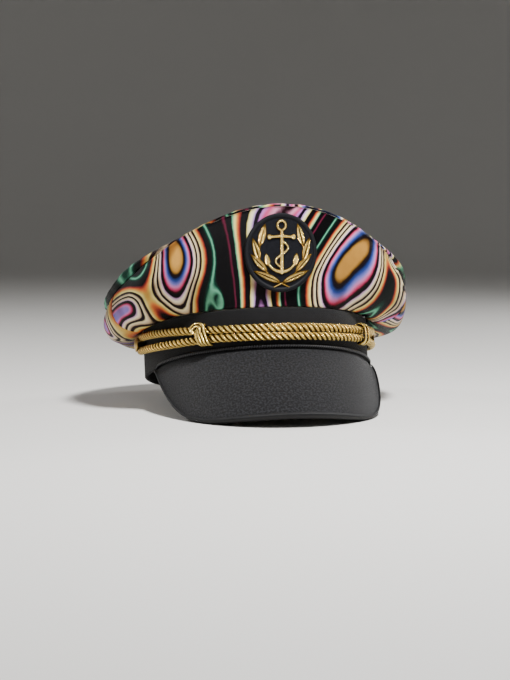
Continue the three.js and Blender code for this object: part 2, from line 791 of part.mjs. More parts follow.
// Anchor: ring, stock with ball ends, shank, arms with flukes, and a rope that winds round the
// shank. Heights, reaches and widths are shares of the badge's radius; the rest are degrees.
const RING = { height: 0.69, radius: 0.115, width: 0.08, closed: -90, split: 210, overlap: 10 };
const SHANK = { top: 0.59, middle: 0.1, width: 0.1 };
const STOCK = { height: 0.4, bow: 0.02, reach: 0.3, width: 0.08 };
const BALL = { height: 0.4, reach: 0.42, length: 0.15, width: 0.14 };
const ARMS = { height: -0.06, radius: 0.42, width: 0.1, end: -28 };
const FLUKE = { below: 0.08, heading: 80, length: 0.34, width: 0.17 };
const ROPE = { top: 0.3, bottom: -0.38, reach: 0.17, width: 0.065 };
const flukeX = ARMS.radius * Math.cos(ARMS.end * RAD);
const flukeY = ARMS.height + ARMS.radius * Math.sin(ARMS.end * RAD) - FLUKE.below;
const ring = (from, to, count) => bar(arc(0, RING.height, RING.radius, from, to, count), RING.width);
const rope = steps(12).map((share) => [
  ROPE.reach * Math.sin(2 * Math.PI * share),
  mix(ROPE.top, ROPE.bottom, share),
]);
embroidery('badge_anchor', [
  ring(RING.closed, RING.split, 12),
  ring(RING.split - RING.overlap, RING.closed + 360 + RING.overlap, 4),
  bar([[0, SHANK.top], [0, SHANK.middle], [0, ARMS.height - ARMS.radius]], SHANK.width),
  bar(
    [
      [-STOCK.reach, STOCK.height],
      [0, STOCK.height + STOCK.bow],
      [STOCK.reach, STOCK.height],
    ],
    STOCK.width,
  ),
  leaf(-BALL.reach, BALL.height, 0, BALL.length, BALL.width),
  leaf(BALL.reach, BALL.height, 180, BALL.length, BALL.width),
  bar(arc(0, ARMS.height, ARMS.radius, -180 - ARMS.end, ARMS.end, 12), ARMS.width),
  leaf(-flukeX, flukeY, 180 - FLUKE.heading, FLUKE.length, FLUKE.width),
  leaf(flukeX, flukeY, FLUKE.heading, FLUKE.length, FLUKE.width),
  bar(rope, ROPE.width),
]);

// Sprays: four large leaves on a thin stem, one spray on each side of the anchor. A leaf runs from
// its foot on the stem to its tip.
const LEAVES = [
  { footX: 0.03, footY: -0.75, tipX: 0.76, tipY: -0.455, width: 0.18 },
  { footX: 0.39, footY: -0.48, tipX: 0.84, tipY: -0.03, width: 0.18 },
  { footX: 0.6, footY: -0.2, tipX: 0.77, tipY: 0.38, width: 0.2 },
  { footX: 0.59, footY: 0.17, tipX: 0.42, tipY: 0.74, width: 0.2 },
];
const STEM = [
  { x: 0.2, y: -0.68 },
  { x: 0.38, y: -0.52 },
  { x: 0.51, y: -0.35 },
  { x: 0.6, y: -0.15 },
  { x: 0.63, y: 0.03 },
  { x: 0.58, y: 0.22 },
];
const STEM_WIDTH = 0.05;
for (const [name, hand] of [['badge_spray_left', 1], ['badge_spray_right', -1]]) {
  const shapes = LEAVES.map(({ footX, footY, tipX, tipY, width }) => {
    const heading = Math.atan2(tipY - footY, hand * (tipX - footX)) / RAD;
    return leaf(hand * footX, footY, heading, Math.hypot(tipX - footX, tipY - footY), width);
  });
  shapes.push(bar(STEM.map(({ x, y }) => [hand * x, y]), STEM_WIDTH));
  embroidery(name, shapes);
}

// The hat tips back until the binding and the band's back edge stand on one level.
const backEdge = offBand(Math.PI, 0, 0);
const tilt = Math.max(...bindingSections.flat().map((spot) =>
  Math.atan2(-spot.z, backEdge.y - spot.y)));
hat.rotation.x = -tilt;
hat.updateMatrixWorld(true);
const box = new THREE.Box3().setFromObject(hat, true);
hat.position.set(-(box.min.x + box.max.x) / 2, -(box.min.y + box.max.y) / 2, -box.min.z);

const part = new THREE.Group();
part.name = 'captain_hat';
part.add(hat);

export default part;
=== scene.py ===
# A captain hat: a soft crown of printed cloth, a stiff cloth-covered band, a cloth peak, a gold
# twisted cord with two sliding knots and a round embroidered badge. It lies on a floor as it rests
# by itself. Sizes are in millimetres in the hat's own frame, where the band stands level, the
# front is at -Y, the wearer's left at +X and an angle of 0 is the middle of the front.

import json
import math

import bmesh
import bpy
import numpy as np
from mathutils import Matrix, Vector, noise


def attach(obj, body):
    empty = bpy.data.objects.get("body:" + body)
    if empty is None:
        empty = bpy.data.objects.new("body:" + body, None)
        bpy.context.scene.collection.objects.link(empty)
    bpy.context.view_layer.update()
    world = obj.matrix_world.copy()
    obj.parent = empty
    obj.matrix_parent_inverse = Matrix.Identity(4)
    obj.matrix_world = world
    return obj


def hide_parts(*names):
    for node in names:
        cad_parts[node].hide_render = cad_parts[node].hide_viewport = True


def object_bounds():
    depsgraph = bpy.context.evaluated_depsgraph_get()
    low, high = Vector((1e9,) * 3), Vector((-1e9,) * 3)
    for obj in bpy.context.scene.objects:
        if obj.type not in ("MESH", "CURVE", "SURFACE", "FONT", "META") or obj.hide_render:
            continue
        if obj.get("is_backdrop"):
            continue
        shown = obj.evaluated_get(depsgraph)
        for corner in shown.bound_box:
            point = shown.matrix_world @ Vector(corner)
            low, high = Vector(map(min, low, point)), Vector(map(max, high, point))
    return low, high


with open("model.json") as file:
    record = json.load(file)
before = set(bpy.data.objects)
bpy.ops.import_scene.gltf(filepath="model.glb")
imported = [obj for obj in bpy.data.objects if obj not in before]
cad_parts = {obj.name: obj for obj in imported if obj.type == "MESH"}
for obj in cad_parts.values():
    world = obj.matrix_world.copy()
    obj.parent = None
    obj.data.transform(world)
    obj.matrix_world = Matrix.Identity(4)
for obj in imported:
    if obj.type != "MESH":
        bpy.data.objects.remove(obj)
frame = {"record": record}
cad_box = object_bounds()

# Head band
# A stiff strip wrapped in black cloth that goes round the head. Its bottom edge rises in a low
# arch over the peak. It is sewn to the crown along its top edge.
BAND_HALF_WIDTH = 86.0
BAND_HALF_LENGTH = 102.0
BAND_WALL = 3.0
BAND_EDGE = 1.1
BAND_TOP_FRONT = 34.2
BAND_TOP_BACK = 38.0
BAND_ARCH = 4.5
PEAK_HALF_ANGLE = math.radians(74)
BAND_ROUND = 592.0
BAND_STEPS = 360
BAND_RIPPLE = 0.12
BAND_THREAD = 0.55

# The mount under the back of the band: its place in the hat's own frame and the hat's lean.
rest = next(mount for mount in frame["record"]["mounts"] if mount["name"] == "band_rim")
REST_SPOT = np.array([4.0, 100.3, 0.0])
lean = math.atan2(-rest["axis"][1], -rest["axis"][2])
LAY = np.array([
    [1, 0, 0],
    [0, math.cos(lean), math.sin(lean)],
    [0, -math.sin(lean), math.cos(lean)],
])


def laid(spots):
    """Points in the hat's own frame, in millimetres, as they lie on the floor, in metres."""
    return (np.asarray(spots) - REST_SPOT) @ LAY.T / 1000 + np.array(rest["pos_m"])


def unit(ways):
    """Ways made one long."""
    return ways / np.linalg.norm(ways, axis=-1, keepdims=True)


def from_front(angle):
    """An angle brought to within half a turn of the middle of the front."""
    return np.arctan2(np.sin(angle), np.cos(angle))


def band_top(angle):
    return BAND_TOP_FRONT + (BAND_TOP_BACK - BAND_TOP_FRONT) * (1 - np.cos(angle)) / 2


def band_bottom(angle):
    turned = np.abs(from_front(angle)) / PEAK_HALF_ANGLE
    return BAND_ARCH * np.clip(1 - turned**4, 0, 1)


def band_out(angle):
    """The way that leaves the band square to its face."""
    out = [np.sin(angle) / BAND_HALF_WIDTH, -np.cos(angle) / BAND_HALF_LENGTH, 0 * angle]
    return unit(np.stack(out, axis=-1))


def off_band(angle, out, height):
    """Points off the band's outer face, and above its bottom plane."""
    angle, out, height = np.broadcast_arrays(angle, out, height)
    face = [BAND_HALF_WIDTH * np.sin(angle), -BAND_HALF_LENGTH * np.cos(angle), height]
    return np.stack(face, axis=-1) + out[..., None] * band_out(angle)


def placed(name, data):
    """A mesh, lamp or camera put in the scene."""
    thing = bpy.data.objects.new(name, data)
    bpy.context.scene.collection.objects.link(thing)
    return thing


def sewn(name, rows, across=None, along=None, around=True, looped=False, parts=None):
    """A mesh over rows of points, in the hat's frame. around joins each row's end to its start,
    and looped joins the last row to the first. across and along become the UV map, in metres, and
    parts is the number of the material for each row."""
    rows = np.asarray(rows, dtype=float)
    count, size = rows.shape[:2]
    r, c = np.meshgrid(
        np.arange(count if looped else count - 1),
        np.arange(size if around else size - 1),
        indexing="ij",
    )
    r, c = r.ravel(), c.ravel()
    corners = [(r, c), (r, c + 1), (r + 1, c + 1), (r + 1, c)]
    faces = np.stack([(i % count) * size + j % size for i, j in corners], axis=1)
    spots = rows.reshape(-1, 3)
    first, second, third, fourth = (spots[faces[:, i]] for i in range(4))
    volume = np.einsum("ij,ij->", first, np.cross(second, third) + np.cross(third, fourth))
    if volume < 0:
        faces = faces[:, ::-1]
        corners = corners[::-1]
    mesh = bpy.data.meshes.new(name)
    mesh.from_pydata(laid(spots).tolist(), [], faces.tolist())
    mesh.polygons.foreach_set("use_smooth", np.ones(len(faces), dtype=bool))
    if across is not None:
        wide = np.broadcast_to(across, (count + 1, size + 1))
        long = np.broadcast_to(along, (count + 1, size + 1))
        pairs = [np.stack([wide[i, j], long[i, j]], axis=1) for i, j in corners]
        layer = mesh.uv_layers.new(name="cloth")
        layer.data.foreach_set("uv", (np.stack(pairs, axis=1) / 1000).ravel())
    if parts is not None:
        mesh.polygons.foreach_set("material_index", np.asarray(parts)[r].astype(np.int32))
    return placed(name, mesh)


def lengths(rows):
    """How far each row lies from the first one, along the cloth."""
    gaps = np.linalg.norm(np.diff(rows, axis=0), axis=-1)
    return np.concatenate([np.zeros((1,) + gaps.shape[1:]), np.cumsum(gaps, axis=0)])


def ink(code):
    """A colour written as on a dye card, in the linear numbers that a shader takes."""
    parts = [int(code[i : i + 2], 16) / 255 for i in (1, 3, 5)]
    return (*(p / 12.92 if p <= 0.04045 else ((p + 0.055) / 1.055) ** 2.4 for p in parts), 1)


def put(material, kind, inputs=None, **settings):
    """A new node in a material, with its settings, and its inputs as values or other outputs."""
    node = material.node_tree.nodes.new(kind)
    for key, value in settings.items():
        setattr(node, key, value)
    for key, value in (inputs or {}).items():
        if isinstance(value, bpy.types.NodeSocket):
            material.node_tree.links.new(value, node.inputs[key])
        else:
            node.inputs[key].default_value = value
    return node


def sums(material, way, first, second):
    inputs = {0: first, 1: second}
    return put(material, "ShaderNodeMath", inputs, operation=way).outputs[0]


def finish(name, **sockets):
    """A material whose shader has these values on its own sockets."""
    material = bpy.data.materials.new(name)
    material.use_nodes = True
    shader = material.node_tree.nodes["Principled BSDF"]
    for key, value in sockets.items():
        shader.inputs[key.replace("_", " ").title().replace("Ior", "IOR")].default_value = value
    return material, shader


def feed(shader, socket, output):
    """A node's output joined to one of the shader's sockets."""
    shader.id_data.links.new(output, shader.inputs[socket])


def cloth_map(material):
    """The place on the cloth, from the mesh's UV map."""
    return put(material, "ShaderNodeUVMap", uv_map="cloth").outputs[0]


def across_along(material, cloth):
    """The two parts of a place on the cloth, in metres."""
    return put(material, "ShaderNodeSeparateXYZ", {0: cloth}).outputs[:2]


def grain(material, cloth, scale, detail, roughness=0.5, distortion=0.0):
    """Smooth noise over the cloth, with scale patches to the metre."""
    inputs = {"Vector": cloth, "Scale": scale, "Detail": detail, "Roughness": roughness}
    inputs["Distortion"] = distortion
    return put(material, "ShaderNodeTexNoise", inputs).outputs[0]


def raised(material, height, depth):
    """The bump of a height, where a height of 1 is depth millimetres."""
    inputs = {"Height": height, "Distance": depth / 1000, "Strength": 1.0}
    return put(material, "ShaderNodeBump", inputs).outputs[0]


def shades(material, value, inks):
    """A ramp of inks over a value, each ink with its place on the ramp."""
    ramp = put(material, "ShaderNodeValToRGB", {"Fac": value})
    marks = ramp.color_ramp.elements
    while len(marks) < len(inks):
        marks.new(1)
    for mark, (place, code) in zip(marks, inks):
        mark.position = place
        mark.color = ink(code)
    return ramp.outputs[0]


def weave(material, thread, slant, depth):
    """A bump of threads, thread millimetres apart, and their height. slant 0 is a plain weave, 1 a
    twill with diagonal ribs, and 2 a weave of crossing diagonals."""
    cloth = cloth_map(material)
    turns = 2 * math.pi * 1000 / thread
    wide, long = (sums(material, "MULTIPLY", part, turns) for part in across_along(material, cloth))
    if slant == 1:
        height = sums(material, "SINE", sums(material, "ADD", wide, long), 0)
    else:
        if slant == 2:
            wide, long = (sums(material, way, wide, long) for way in ("ADD", "SUBTRACT"))
        crossed = sums(material, "SINE", wide, 0), sums(material, "SINE", long, 0)
        height = sums(material, "MULTIPLY", *crossed)
    height = sums(material, "ADD", height, grain(material, cloth, 900 / thread, 3.0, 0.6))
    return raised(material, height, depth), height


def tinted(material, shader, dark, light, size):
    """Cloth colour that wanders a little between two shades, over patches size millimetres wide."""
    patches = grain(material, cloth_map(material), 1000 / size, 5.0, 0.65)
    feed(shader, "Base Color", shades(material, patches, [(0.3, dark), (0.7, light)]))


band_cloth, shader = finish(
    "black_band_cloth",
    roughness=0.85,
    sheen_weight=0.06,
    sheen_roughness=0.5,
    specular_ior_level=0.2,
)
tinted(band_cloth, shader, "#060607", "#0c0c0e", 9)
bump, _ = weave(band_cloth, BAND_THREAD, 0, 0.05)
feed(shader, "Normal", bump)

turns = np.linspace(0, 2 * np.pi, BAND_STEPS, endpoint=False)
quarter = np.linspace(0, np.pi / 2, 5)
low, high = band_bottom(turns), band_top(turns)


def band_edge(bends, face, inwards, edge, upwards):
    """The rows of one rounded edge of the band."""
    for bend in bends:
        out = face + inwards * BAND_EDGE * (1 - math.cos(bend))
        yield off_band(turns, out, edge + upwards * BAND_EDGE * (1 - math.sin(bend)))


rows = [*band_edge(quarter[::-1], 0, -1, low, 1)]
for share in np.linspace(0.04, 0.96, 16):
    ripple = BAND_RIPPLE * np.sin(turns * 7 + share * 3) * math.sin(math.pi * share)
    rows.append(off_band(turns, ripple, low + (high - low) * share))
rows += band_edge(quarter, 0, -1, high, -1)
rows += band_edge(quarter[::-1], -BAND_WALL, 1, high, -1)
for share in np.linspace(0.9, 0.1, 5):
    rows.append(off_band(turns, -BAND_WALL, low + (high - low) * share))
rows += band_edge(quarter, -BAND_WALL, 1, low, 1)
rows = np.array(rows)
over = lengths(np.concatenate([rows, rows[:1]]))[:, :1]
band = sewn(
    "headband_cloth",
    rows,
    across=np.linspace(0, BAND_ROUND, BAND_STEPS + 1)[None, :],
    along=over,
    looped=True,
)
band.data.materials.append(band_cloth)
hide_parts("headband")
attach(band, "root")

# Crown side
# The printed cloth panel between the band and the rim. It stands up and leans forward in front,
# and sags and puffs out at the sides and back. It is sewn into the band along its lower edge, where
# the stitches pull small puckers.
CLOTH = 2.0
SEAM_GAP = 0.3
SEAM_CURL = 1.0
SIDE_ROUND = 724.0
RIM_HALF_WIDTH = 114.5
RIM_HALF_LENGTH = 123.5
RIM_MIDDLE = 4.5
RIM_LEAN = 2.4
RIM_HEIGHTS = {"front": 107.0, "shoulder": 82.8, "side": 56.0, "back": 52.0}
CROWN_SAG = 10.5
SIDE_SWELL = 5.0
FRONT_SWELL = 2.0
FOLD_DEPTH = 1.6
SIDE_STEPS = 520
SIDE_SEAMS = [math.radians(68), math.radians(-78)]
SEAM_DIP = 0.9
SEAM_PUFF = 0.3
SEAM_PUCKER = 0.16
BAND_PUCKERS = 74
BAND_PUCKER = 0.16
RIM_PUCKERS = 61
RIM_PUCKER = 0.2
RIM_LIP = 0.4
SIDE_SOFTNESS = 0.9
# Rows of points close to a seam, in millimetres on a panel that is SIDE_DEEP deep.
NEAR_SEAM = np.array([0, 0.15, 0.35, 0.6, 0.9, 1.3, 2.0, 3.0])
SIDE_DEEP = 90
SIDE_ROWS = {
    "front_across": [0, 0.12, 0.26, 0.42, 0.58, 0.74, 0.88, 1],
    "front_up": [0, 0.13, 0.28, 0.44, 0.6, 0.75, 0.88, 1],
    "front_puff": [0, 0.3, 0.7, 0.95, 1, 0.8, 0.4, 0],
    "across": [0, 0.16, 0.36, 0.58, 0.76, 0.88, 0.96, 1],
    "up": [0, 0.1, 0.22, 0.36, 0.5, 0.66, 0.83, 1],
    "sag": [0, 0.55, 1, 1.2, 1.15, 0.75, 0.3, 0],
    "puff": [0, 0, 0.1, 0.5, 1, 1.25, 0.8, 0],
}
# Soft upright folds: angle and half width in degrees, and depth as a share of FOLD_DEPTH.
FOLDS = [
    (-148, 11, 0.9),
    (-112, 8, 1.0),
    (-84, 7, 0.7),
    (78, 8, 0.8),
    (104, 9, 1.0),
    (139, 10, 0.7),
    (176, 12, 0.8),
]


def mix(a, b, share):
    """The value a share of the way from a to b."""
    return a + (b - a) * share


def smooth(low, high, value):
    share = np.clip((value - low) / (high - low), 0, 1)
    return share * share * (3 - 2 * share)


def row_at(rows, column, share):
    """One line of a table of sections, read as a smooth curve."""
    values = np.array(rows[column], dtype=float)
    last = len(values) - 1
    place = np.clip(share, 0, 1) * last
    row = np.minimum(np.floor(place), last - 1).astype(int)
    rest_of = place - row
    before, start, end, after = (values[np.clip(row + i, 0, last)] for i in (-1, 0, 1, 2))
    leave = (end - before) / 2
    arrive = (after - start) / 2
    bend = 3 * (end - start) - 2 * leave - arrive
    twist = leave + arrive - 2 * (end - start)
    return start + rest_of * (leave + rest_of * (bend + rest_of * twist))


def sideways(angle):
    """0 on the front of the crown, 1 on its sides and back."""
    return smooth(20, 70, np.degrees(np.abs(from_front(angle))))


def on_rim(angle, out):
    x = RIM_LEAN + RIM_HALF_WIDTH * out * np.sin(angle)
    y = RIM_MIDDLE - RIM_HALF_LENGTH * out * np.cos(angle)
    return np.stack([x, y, 0 * x], axis=-1)


def rim_out(angle):
    """The way that leaves the rim square to it."""
    out = [np.sin(angle) / RIM_HALF_WIDTH, -np.cos(angle) / RIM_HALF_LENGTH, 0 * angle]
    return unit(np.stack(out, axis=-1))


def rim_height(angle, out):
    """The rim's height, and inside it the height of cloth stretched across the rim."""
    ends = (RIM_HEIGHTS["front"] + RIM_HEIGHTS["back"]) / 2
    mean = (ends + RIM_HEIGHTS["side"]) / 2
    saddle = (ends - RIM_HEIGHTS["side"]) / 2
    slope = (RIM_HEIGHTS["front"] - RIM_HEIGHTS["back"]) / 2
    shoulder = (RIM_HEIGHTS["shoulder"] - mean) * math.sqrt(2)
    waves = [mean, (slope + shoulder) / 2, saddle, (slope - shoulder) / 2]
    return sum(wave * out**n * np.cos(n * angle) for n, wave in enumerate(waves))


def soft_rise(off, width):
    """A soft rise that is 1 in its middle."""
    return np.exp(-((off / width) ** 2))


def fold_at(angle):
    """How deep the folds are at an angle, as a share of FOLD_DEPTH."""
    total = 0 * angle
    for at, width, depth in FOLDS:
        off = from_front(angle - math.radians(at))
        total = total + depth * soft_rise(off, math.radians(width))
    return total


def side_spot(angle, share):
    """A point of the side panel's outer face. share runs from the band seam to the rim seam."""
    angle, share = np.broadcast_arrays(angle, share)
    side = sideways(angle)
    across = mix(row_at(SIDE_ROWS, "front_across", share), row_at(SIDE_ROWS, "across", share), side)
    up = mix(row_at(SIDE_ROWS, "front_up", share), row_at(SIDE_ROWS, "up", share), side)
    puff = mix(
        FRONT_SWELL * row_at(SIDE_ROWS, "front_puff", share),
        SIDE_SWELL * row_at(SIDE_ROWS, "puff", share),
        side,
    )
    fold = FOLD_DEPTH * fold_at(angle) * np.sin(np.pi * share) ** 2
    low = off_band(angle, 0, 0)
    spot = low + (on_rim(angle, 1) - low) * across[..., None]
    spot = spot + rim_out(angle) * (puff - fold)[..., None]
    sag = CROWN_SAG * side * row_at(SIDE_ROWS, "sag", share)
    spot[..., 2] = mix(band_top(angle) + SEAM_GAP, rim_height(angle, 1), up) - sag
    return spot


def square_to(surface, a, b):
    """The way square to a surface that is given by two shares."""
    step = 0.004
    low, high = np.clip(b - step, 0, 1), np.clip(b + step, 0, 1)
    round_it = surface(a + step, b) - surface(a - step, b)
    return unit(np.cross(round_it, surface(a, high) - surface(a, low)))


def curl(along, whole):
    """How far a panel's edges curl inwards towards their seams."""
    edge = np.minimum(along, whole - along)
    near = np.clip(1 - edge / SEAM_CURL, 0, 1)
    return SEAM_CURL * (1 - np.sqrt(1 - near * near))


def past_seam(angle):
    """How far a point is from the nearer side seam along the rim, in millimetres."""
    apart = [from_front(angle - seam) for seam in SIDE_SEAMS]
    return np.min(np.abs(apart), axis=0) * RIM_HALF_WIDTH


def wander(spots, size, seed):
    """Smooth noise at points of the hat, from about -1 to 1."""
    flat = spots.reshape(-1, 3) / size + seed
    values = [noise.noise(spot) for spot in flat.tolist()]
    return np.array(values).reshape(spots.shape[:-1]) * 1.6


def rim_pull(angle, late):
    """Small puckers where the rim seam pulls on the cloth."""
    return np.sin(angle * RIM_PUCKERS + 1.7 * np.sin(angle * 7) + late)


near_edge = NEAR_SEAM / SIDE_DEEP
middle = np.linspace(0.045, 0.955, 74)
shares = np.concatenate([near_edge, middle, 1 - near_edge[::-1]])
beside = np.array([0.08, 0.25, 0.5, 0.85, 1.25, 1.8, 2.6]) / RIM_HALF_WIDTH
turns = [np.linspace(0, 2 * np.pi, SIDE_STEPS, endpoint=False)]
turns += [(seam + hand * beside) % (2 * np.pi) for seam in SIDE_SEAMS for hand in (-1, 1)]
turns = np.sort(np.concatenate(turns))
angle, share = np.meshgrid(turns, shares)
face = side_spot(angle, share)
way = square_to(side_spot, angle, share)
up_side = lengths(face)
whole = up_side[-1]
pucker = np.exp(-up_side / 7) * np.sin(angle * BAND_PUCKERS + 1.4 * np.sin(angle * 9))
pull = np.exp(-(whole - up_side) / 8) * rim_pull(angle, 0)
soft = SIDE_SOFTNESS * wander(face, 46, 3.1) * (0.25 + sideways(angle)) * np.sin(np.pi * share)
seam = past_seam(angle)
sewn_in = SEAM_PUFF * soft_rise(seam - 1.5, 0.9) - SEAM_DIP * soft_rise(seam, 0.55)
sewn_in = sewn_in + SEAM_PUCKER * np.sin(up_side * 1.3) * np.exp(-seam / 4)
lip = RIM_LIP * soft_rise(whole - up_side - 1.9, 0.8)
lift = BAND_PUCKER * pucker + RIM_PUCKER * pull + soft + sewn_in + lip - curl(up_side, whole)
face = face + way * lift[..., None]
inner_shares = np.array([1, 0.97, 0.9, 0.8, 0.7, 0.6, 0.5, 0.4, 0.3, 0.2, 0.1, 0.03, 0])
angle_in, share_in = np.meshgrid(turns, inner_shares)
inner = side_spot(angle_in, share_in) - CLOTH * square_to(side_spot, angle_in, share_in)
rows = np.concatenate([face, inner])
around_side = np.append(turns, 2 * np.pi)[None, :] / (2 * np.pi) * SIDE_ROUND
up_rows = np.concatenate([up_side, np.zeros((len(inner) + 1, len(turns)))])
up_rows[len(face) : len(face) + len(inner)] = whole * inner_shares[:, None]
up_rows = np.concatenate([up_rows, up_rows[:, :1]], axis=1)
parts = np.array([0] * len(face) + [1] * len(inner))
crown_side = sewn("crown_side_cloth", rows, around_side, up_rows, looped=True, parts=parts)

# The print is an all-over dye of coloured bands that flow round pools. A pool has its place along
# and up the panel, its width and height, and how far on in the run of inks it starts, all in
# millimetres.
FLOW_LENGTH = 76.0
FLOW_BEND = 17.0
POOL_MELT = 9.0
REAR_ALONG = 26.0
REAR_UP = 60.0
SIDE_POOLS = [
    (-88, 50, 10, 17, 0),
    (70, 34, 9, 16, 3),
    (-12, 104, 16, 8, 72),
    (-40, 8, 8, 12, 36),
    (122, 66, 12, 9, 14),
    (156, 30, 13, 12, 0),
    (-148, 20, 8, 8, 10),
    (-186, 44, 12, 17, 4),
    (236, 52, 14, 13, 8),
    (268, 18, 12, 9, 0),
    (-246, 20, 13, 12, 0),
    (-296, 52, 13, 15, 20),
    (344, 40, 13, 17, 0),
]


def flow(across, up, pools, warp, across_whole=None):
    """How far the print's bands have run at a point: distances to the pools, run together."""
    total = 0
    for at_across, at_up, wide, tall, early in pools:
        off = across + FLOW_BEND * warp[0] - at_across
        if across_whole:
            off = (off + across_whole / 2) % across_whole - across_whole / 2
        rise = up + FLOW_BEND * warp[1] - at_up
        far = np.maximum(np.hypot(off, rise * wide / tall) - wide / 2, 0) + early
        total = total + np.exp(-far / POOL_MELT)
    return -POOL_MELT * np.log(total) / FLOW_LENGTH


def dyed(thing, values):
    """The run of the print's bands, kept on the cloth for its shader."""
    run = thing.data.attributes.new("print_run", "FLOAT", "POINT")
    run.data.foreach_set("value", np.asarray(values, dtype=float).ravel())


all_round = np.concatenate([angle, angle_in])
behind = (all_round > SIDE_SEAMS[0]) & (all_round < 2 * np.pi + SIDE_SEAMS[1])
flat_across = all_round / (2 * np.pi) * SIDE_ROUND + REAR_ALONG * behind
flat_up = up_rows[: len(rows), :-1]
flat_up = np.where(behind, REAR_UP - flat_up, flat_up)
warp = (wander(rows, 58, 11.3), wander(rows, 52, 27.9))
dyed(crown_side, flow(flat_across, flat_up, SIDE_POOLS, warp, SIDE_ROUND))

# Each ink's place on the run, from a pool outwards.
INKS = [
    (0.0, "#d29c48"),
    (0.045, "#ae7c34"),
    (0.068, "#1c0e02"),
    (0.088, "#05061a"),
    (0.11, "#2d4188"),
    (0.13, "#7574c3"),
    (0.146, "#cc7cb0"),
    (0.162, "#c33b66"),
    (0.176, "#38020e"),
    (0.186, "#030104"),
    (0.206, "#030104"),
    (0.213, "#c398c0"),
    (0.227, "#f0e3bf"),
    (0.241, "#d0b594"),
    (0.25, "#120205"),
    (0.266, "#120205"),
    (0.273, "#f0e0b0"),
    (0.29, "#c3a986"),
    (0.3, "#180306"),
    (0.32, "#180306"),
    (0.328, "#e9d989"),
    (0.344, "#d0ad4f"),
    (0.358, "#cc6c33"),
    (0.372, "#832721"),
    (0.386, "#060103"),
    (0.43, "#020b08"),
    (0.446, "#083428"),
    (0.46, "#66b28e"),
    (0.472, "#073428"),
    (0.484, "#020103"),
    (0.5, "#020103"),
    (0.6, "#020103"),
    (0.614, "#621733"),
    (0.628, "#030104"),
    (0.664, "#020103"),
    (0.674, "#5da581"),
    (0.688, "#e9db7c"),
    (0.704, "#cc7633"),
    (0.718, "#8c2925"),
    (0.73, "#020103"),
    (0.776, "#020103"),
    (0.784, "#e5d887"),
    (0.804, "#f0e3bf"),
    (0.82, "#ac88c3"),
    (0.828, "#0c0210"),
    (0.85, "#0c0210"),
    (0.857, "#b475bb"),
    (0.876, "#c33b6d"),
    (0.896, "#d893ad"),
    (0.904, "#180208"),
    (0.93, "#180208"),
    (0.937, "#cc975e"),
    (0.952, "#f0e1b8"),
    (0.968, "#4861b2"),
    (0.982, "#060c30"),
    (1.0, "#020103"),
]


def inked(material, run, start, end):
    """The inks between two places of the run, as one ramp."""
    return shades(material, run, [row for row in INKS if start <= row[0] <= end])


def stretched(material, value, start, end, low=0.0, high=1.0):
    """A value taken from the span start to end to the span low to high."""
    inputs = {"Value": value, "From Min": start, "From Max": end, "To Min": low, "To Max": high}
    return put(material, "ShaderNodeMapRange", inputs).outputs[0]


def overlaid(material, amount, first, second, way="MIX"):
    """An amount of the second colour over the first."""
    inputs = {0: amount, 6: first, 7: second}
    return put(material, "ShaderNodeMix", inputs, data_type="RGBA", blend_type=way).outputs[2]


PRINT_THREAD = 0.7
SHADOW_INK = "#8a5a3a"
WASHED_INK = "#cfc9bd"


def printed(name, wash):
    """The printed satin. wash is how much of the colour the cloth's back has lost."""
    material, shader = finish(name, roughness=0.5, specular_ior_level=0.08)
    cloth = cloth_map(material)
    run = put(material, "ShaderNodeAttribute", attribute_name="print_run").outputs["Fac"]
    bleed = grain(material, cloth, 160.0, 3.0)
    run = sums(material, "ADD", run, sums(material, "MULTIPLY", bleed, 0.012))
    run = sums(material, "PINGPONG", run, 1.0)
    late = sums(material, "GREATER_THAN", run, 0.5)
    early_inks, late_inks = inked(material, run, 0, 0.5), inked(material, run, 0.5, 1)
    colour = overlaid(material, late, early_inks, late_inks)
    shadow = grain(material, cloth, 26.0, 2.0, 0.4, 0.6)
    shadow = stretched(material, shadow, 0.52, 0.72, 0.0, 0.85)
    colour = overlaid(material, shadow, colour, ink(SHADOW_INK), "MULTIPLY")
    bump, threads = weave(material, PRINT_THREAD, 1, 0.045)
    shade = stretched(material, threads, -1.0, 2.0, 0.86, 1.06)
    colour = overlaid(material, 1.0, colour, shade, "MULTIPLY")
    if wash:
        colour = overlaid(material, wash, colour, ink(WASHED_INK))
    feed(shader, "Base Color", colour)
    feed(shader, "Normal", bump)
    return material


printed_satin = printed("printed_satin", 0)
satin_back = printed("printed_satin_back", 0.72)
for material in (printed_satin, satin_back):
    crown_side.data.materials.append(material)
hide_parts("crown_side")
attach(crown_side, "root")

# Crown top
# The printed cloth panel that closes the crown. It is stretched over the rim, rolls over a little
# past the rim seam at the sides and back, and has a few soft dents.
DOME = 14.0
EDGE_ROLL = 3.6
DENT_DEPTH = 5.0
TOP_SOFTNESS = 0.8
TOP_DEEP = 120
TOP_ROWS = {
    "front_inward": [0, 0.03, 0.07, 0.14, 0.25, 0.42, 0.68, 1],
    "front_rise": [0, 0.06, 0.13, 0.26, 0.44, 0.66, 0.9, 1],
    "inward": [0, 0.002, 0.012, 0.05, 0.14, 0.32, 0.62, 1],
    "rise": [0, 0.19, 0.37, 0.55, 0.7, 0.86, 0.97, 1],
    "roll": [0, 0.75, 1.08, 0.95, 0.55, 0.15, 0, 0],
}
# Soft dents: angle in degrees, and place, size and depth as shares.
DENTS = [(-60, 0.45, 0.3, 0.8), (50, 0.5, 0.26, 0.6), (160, 0.35, 0.34, 1.0)]


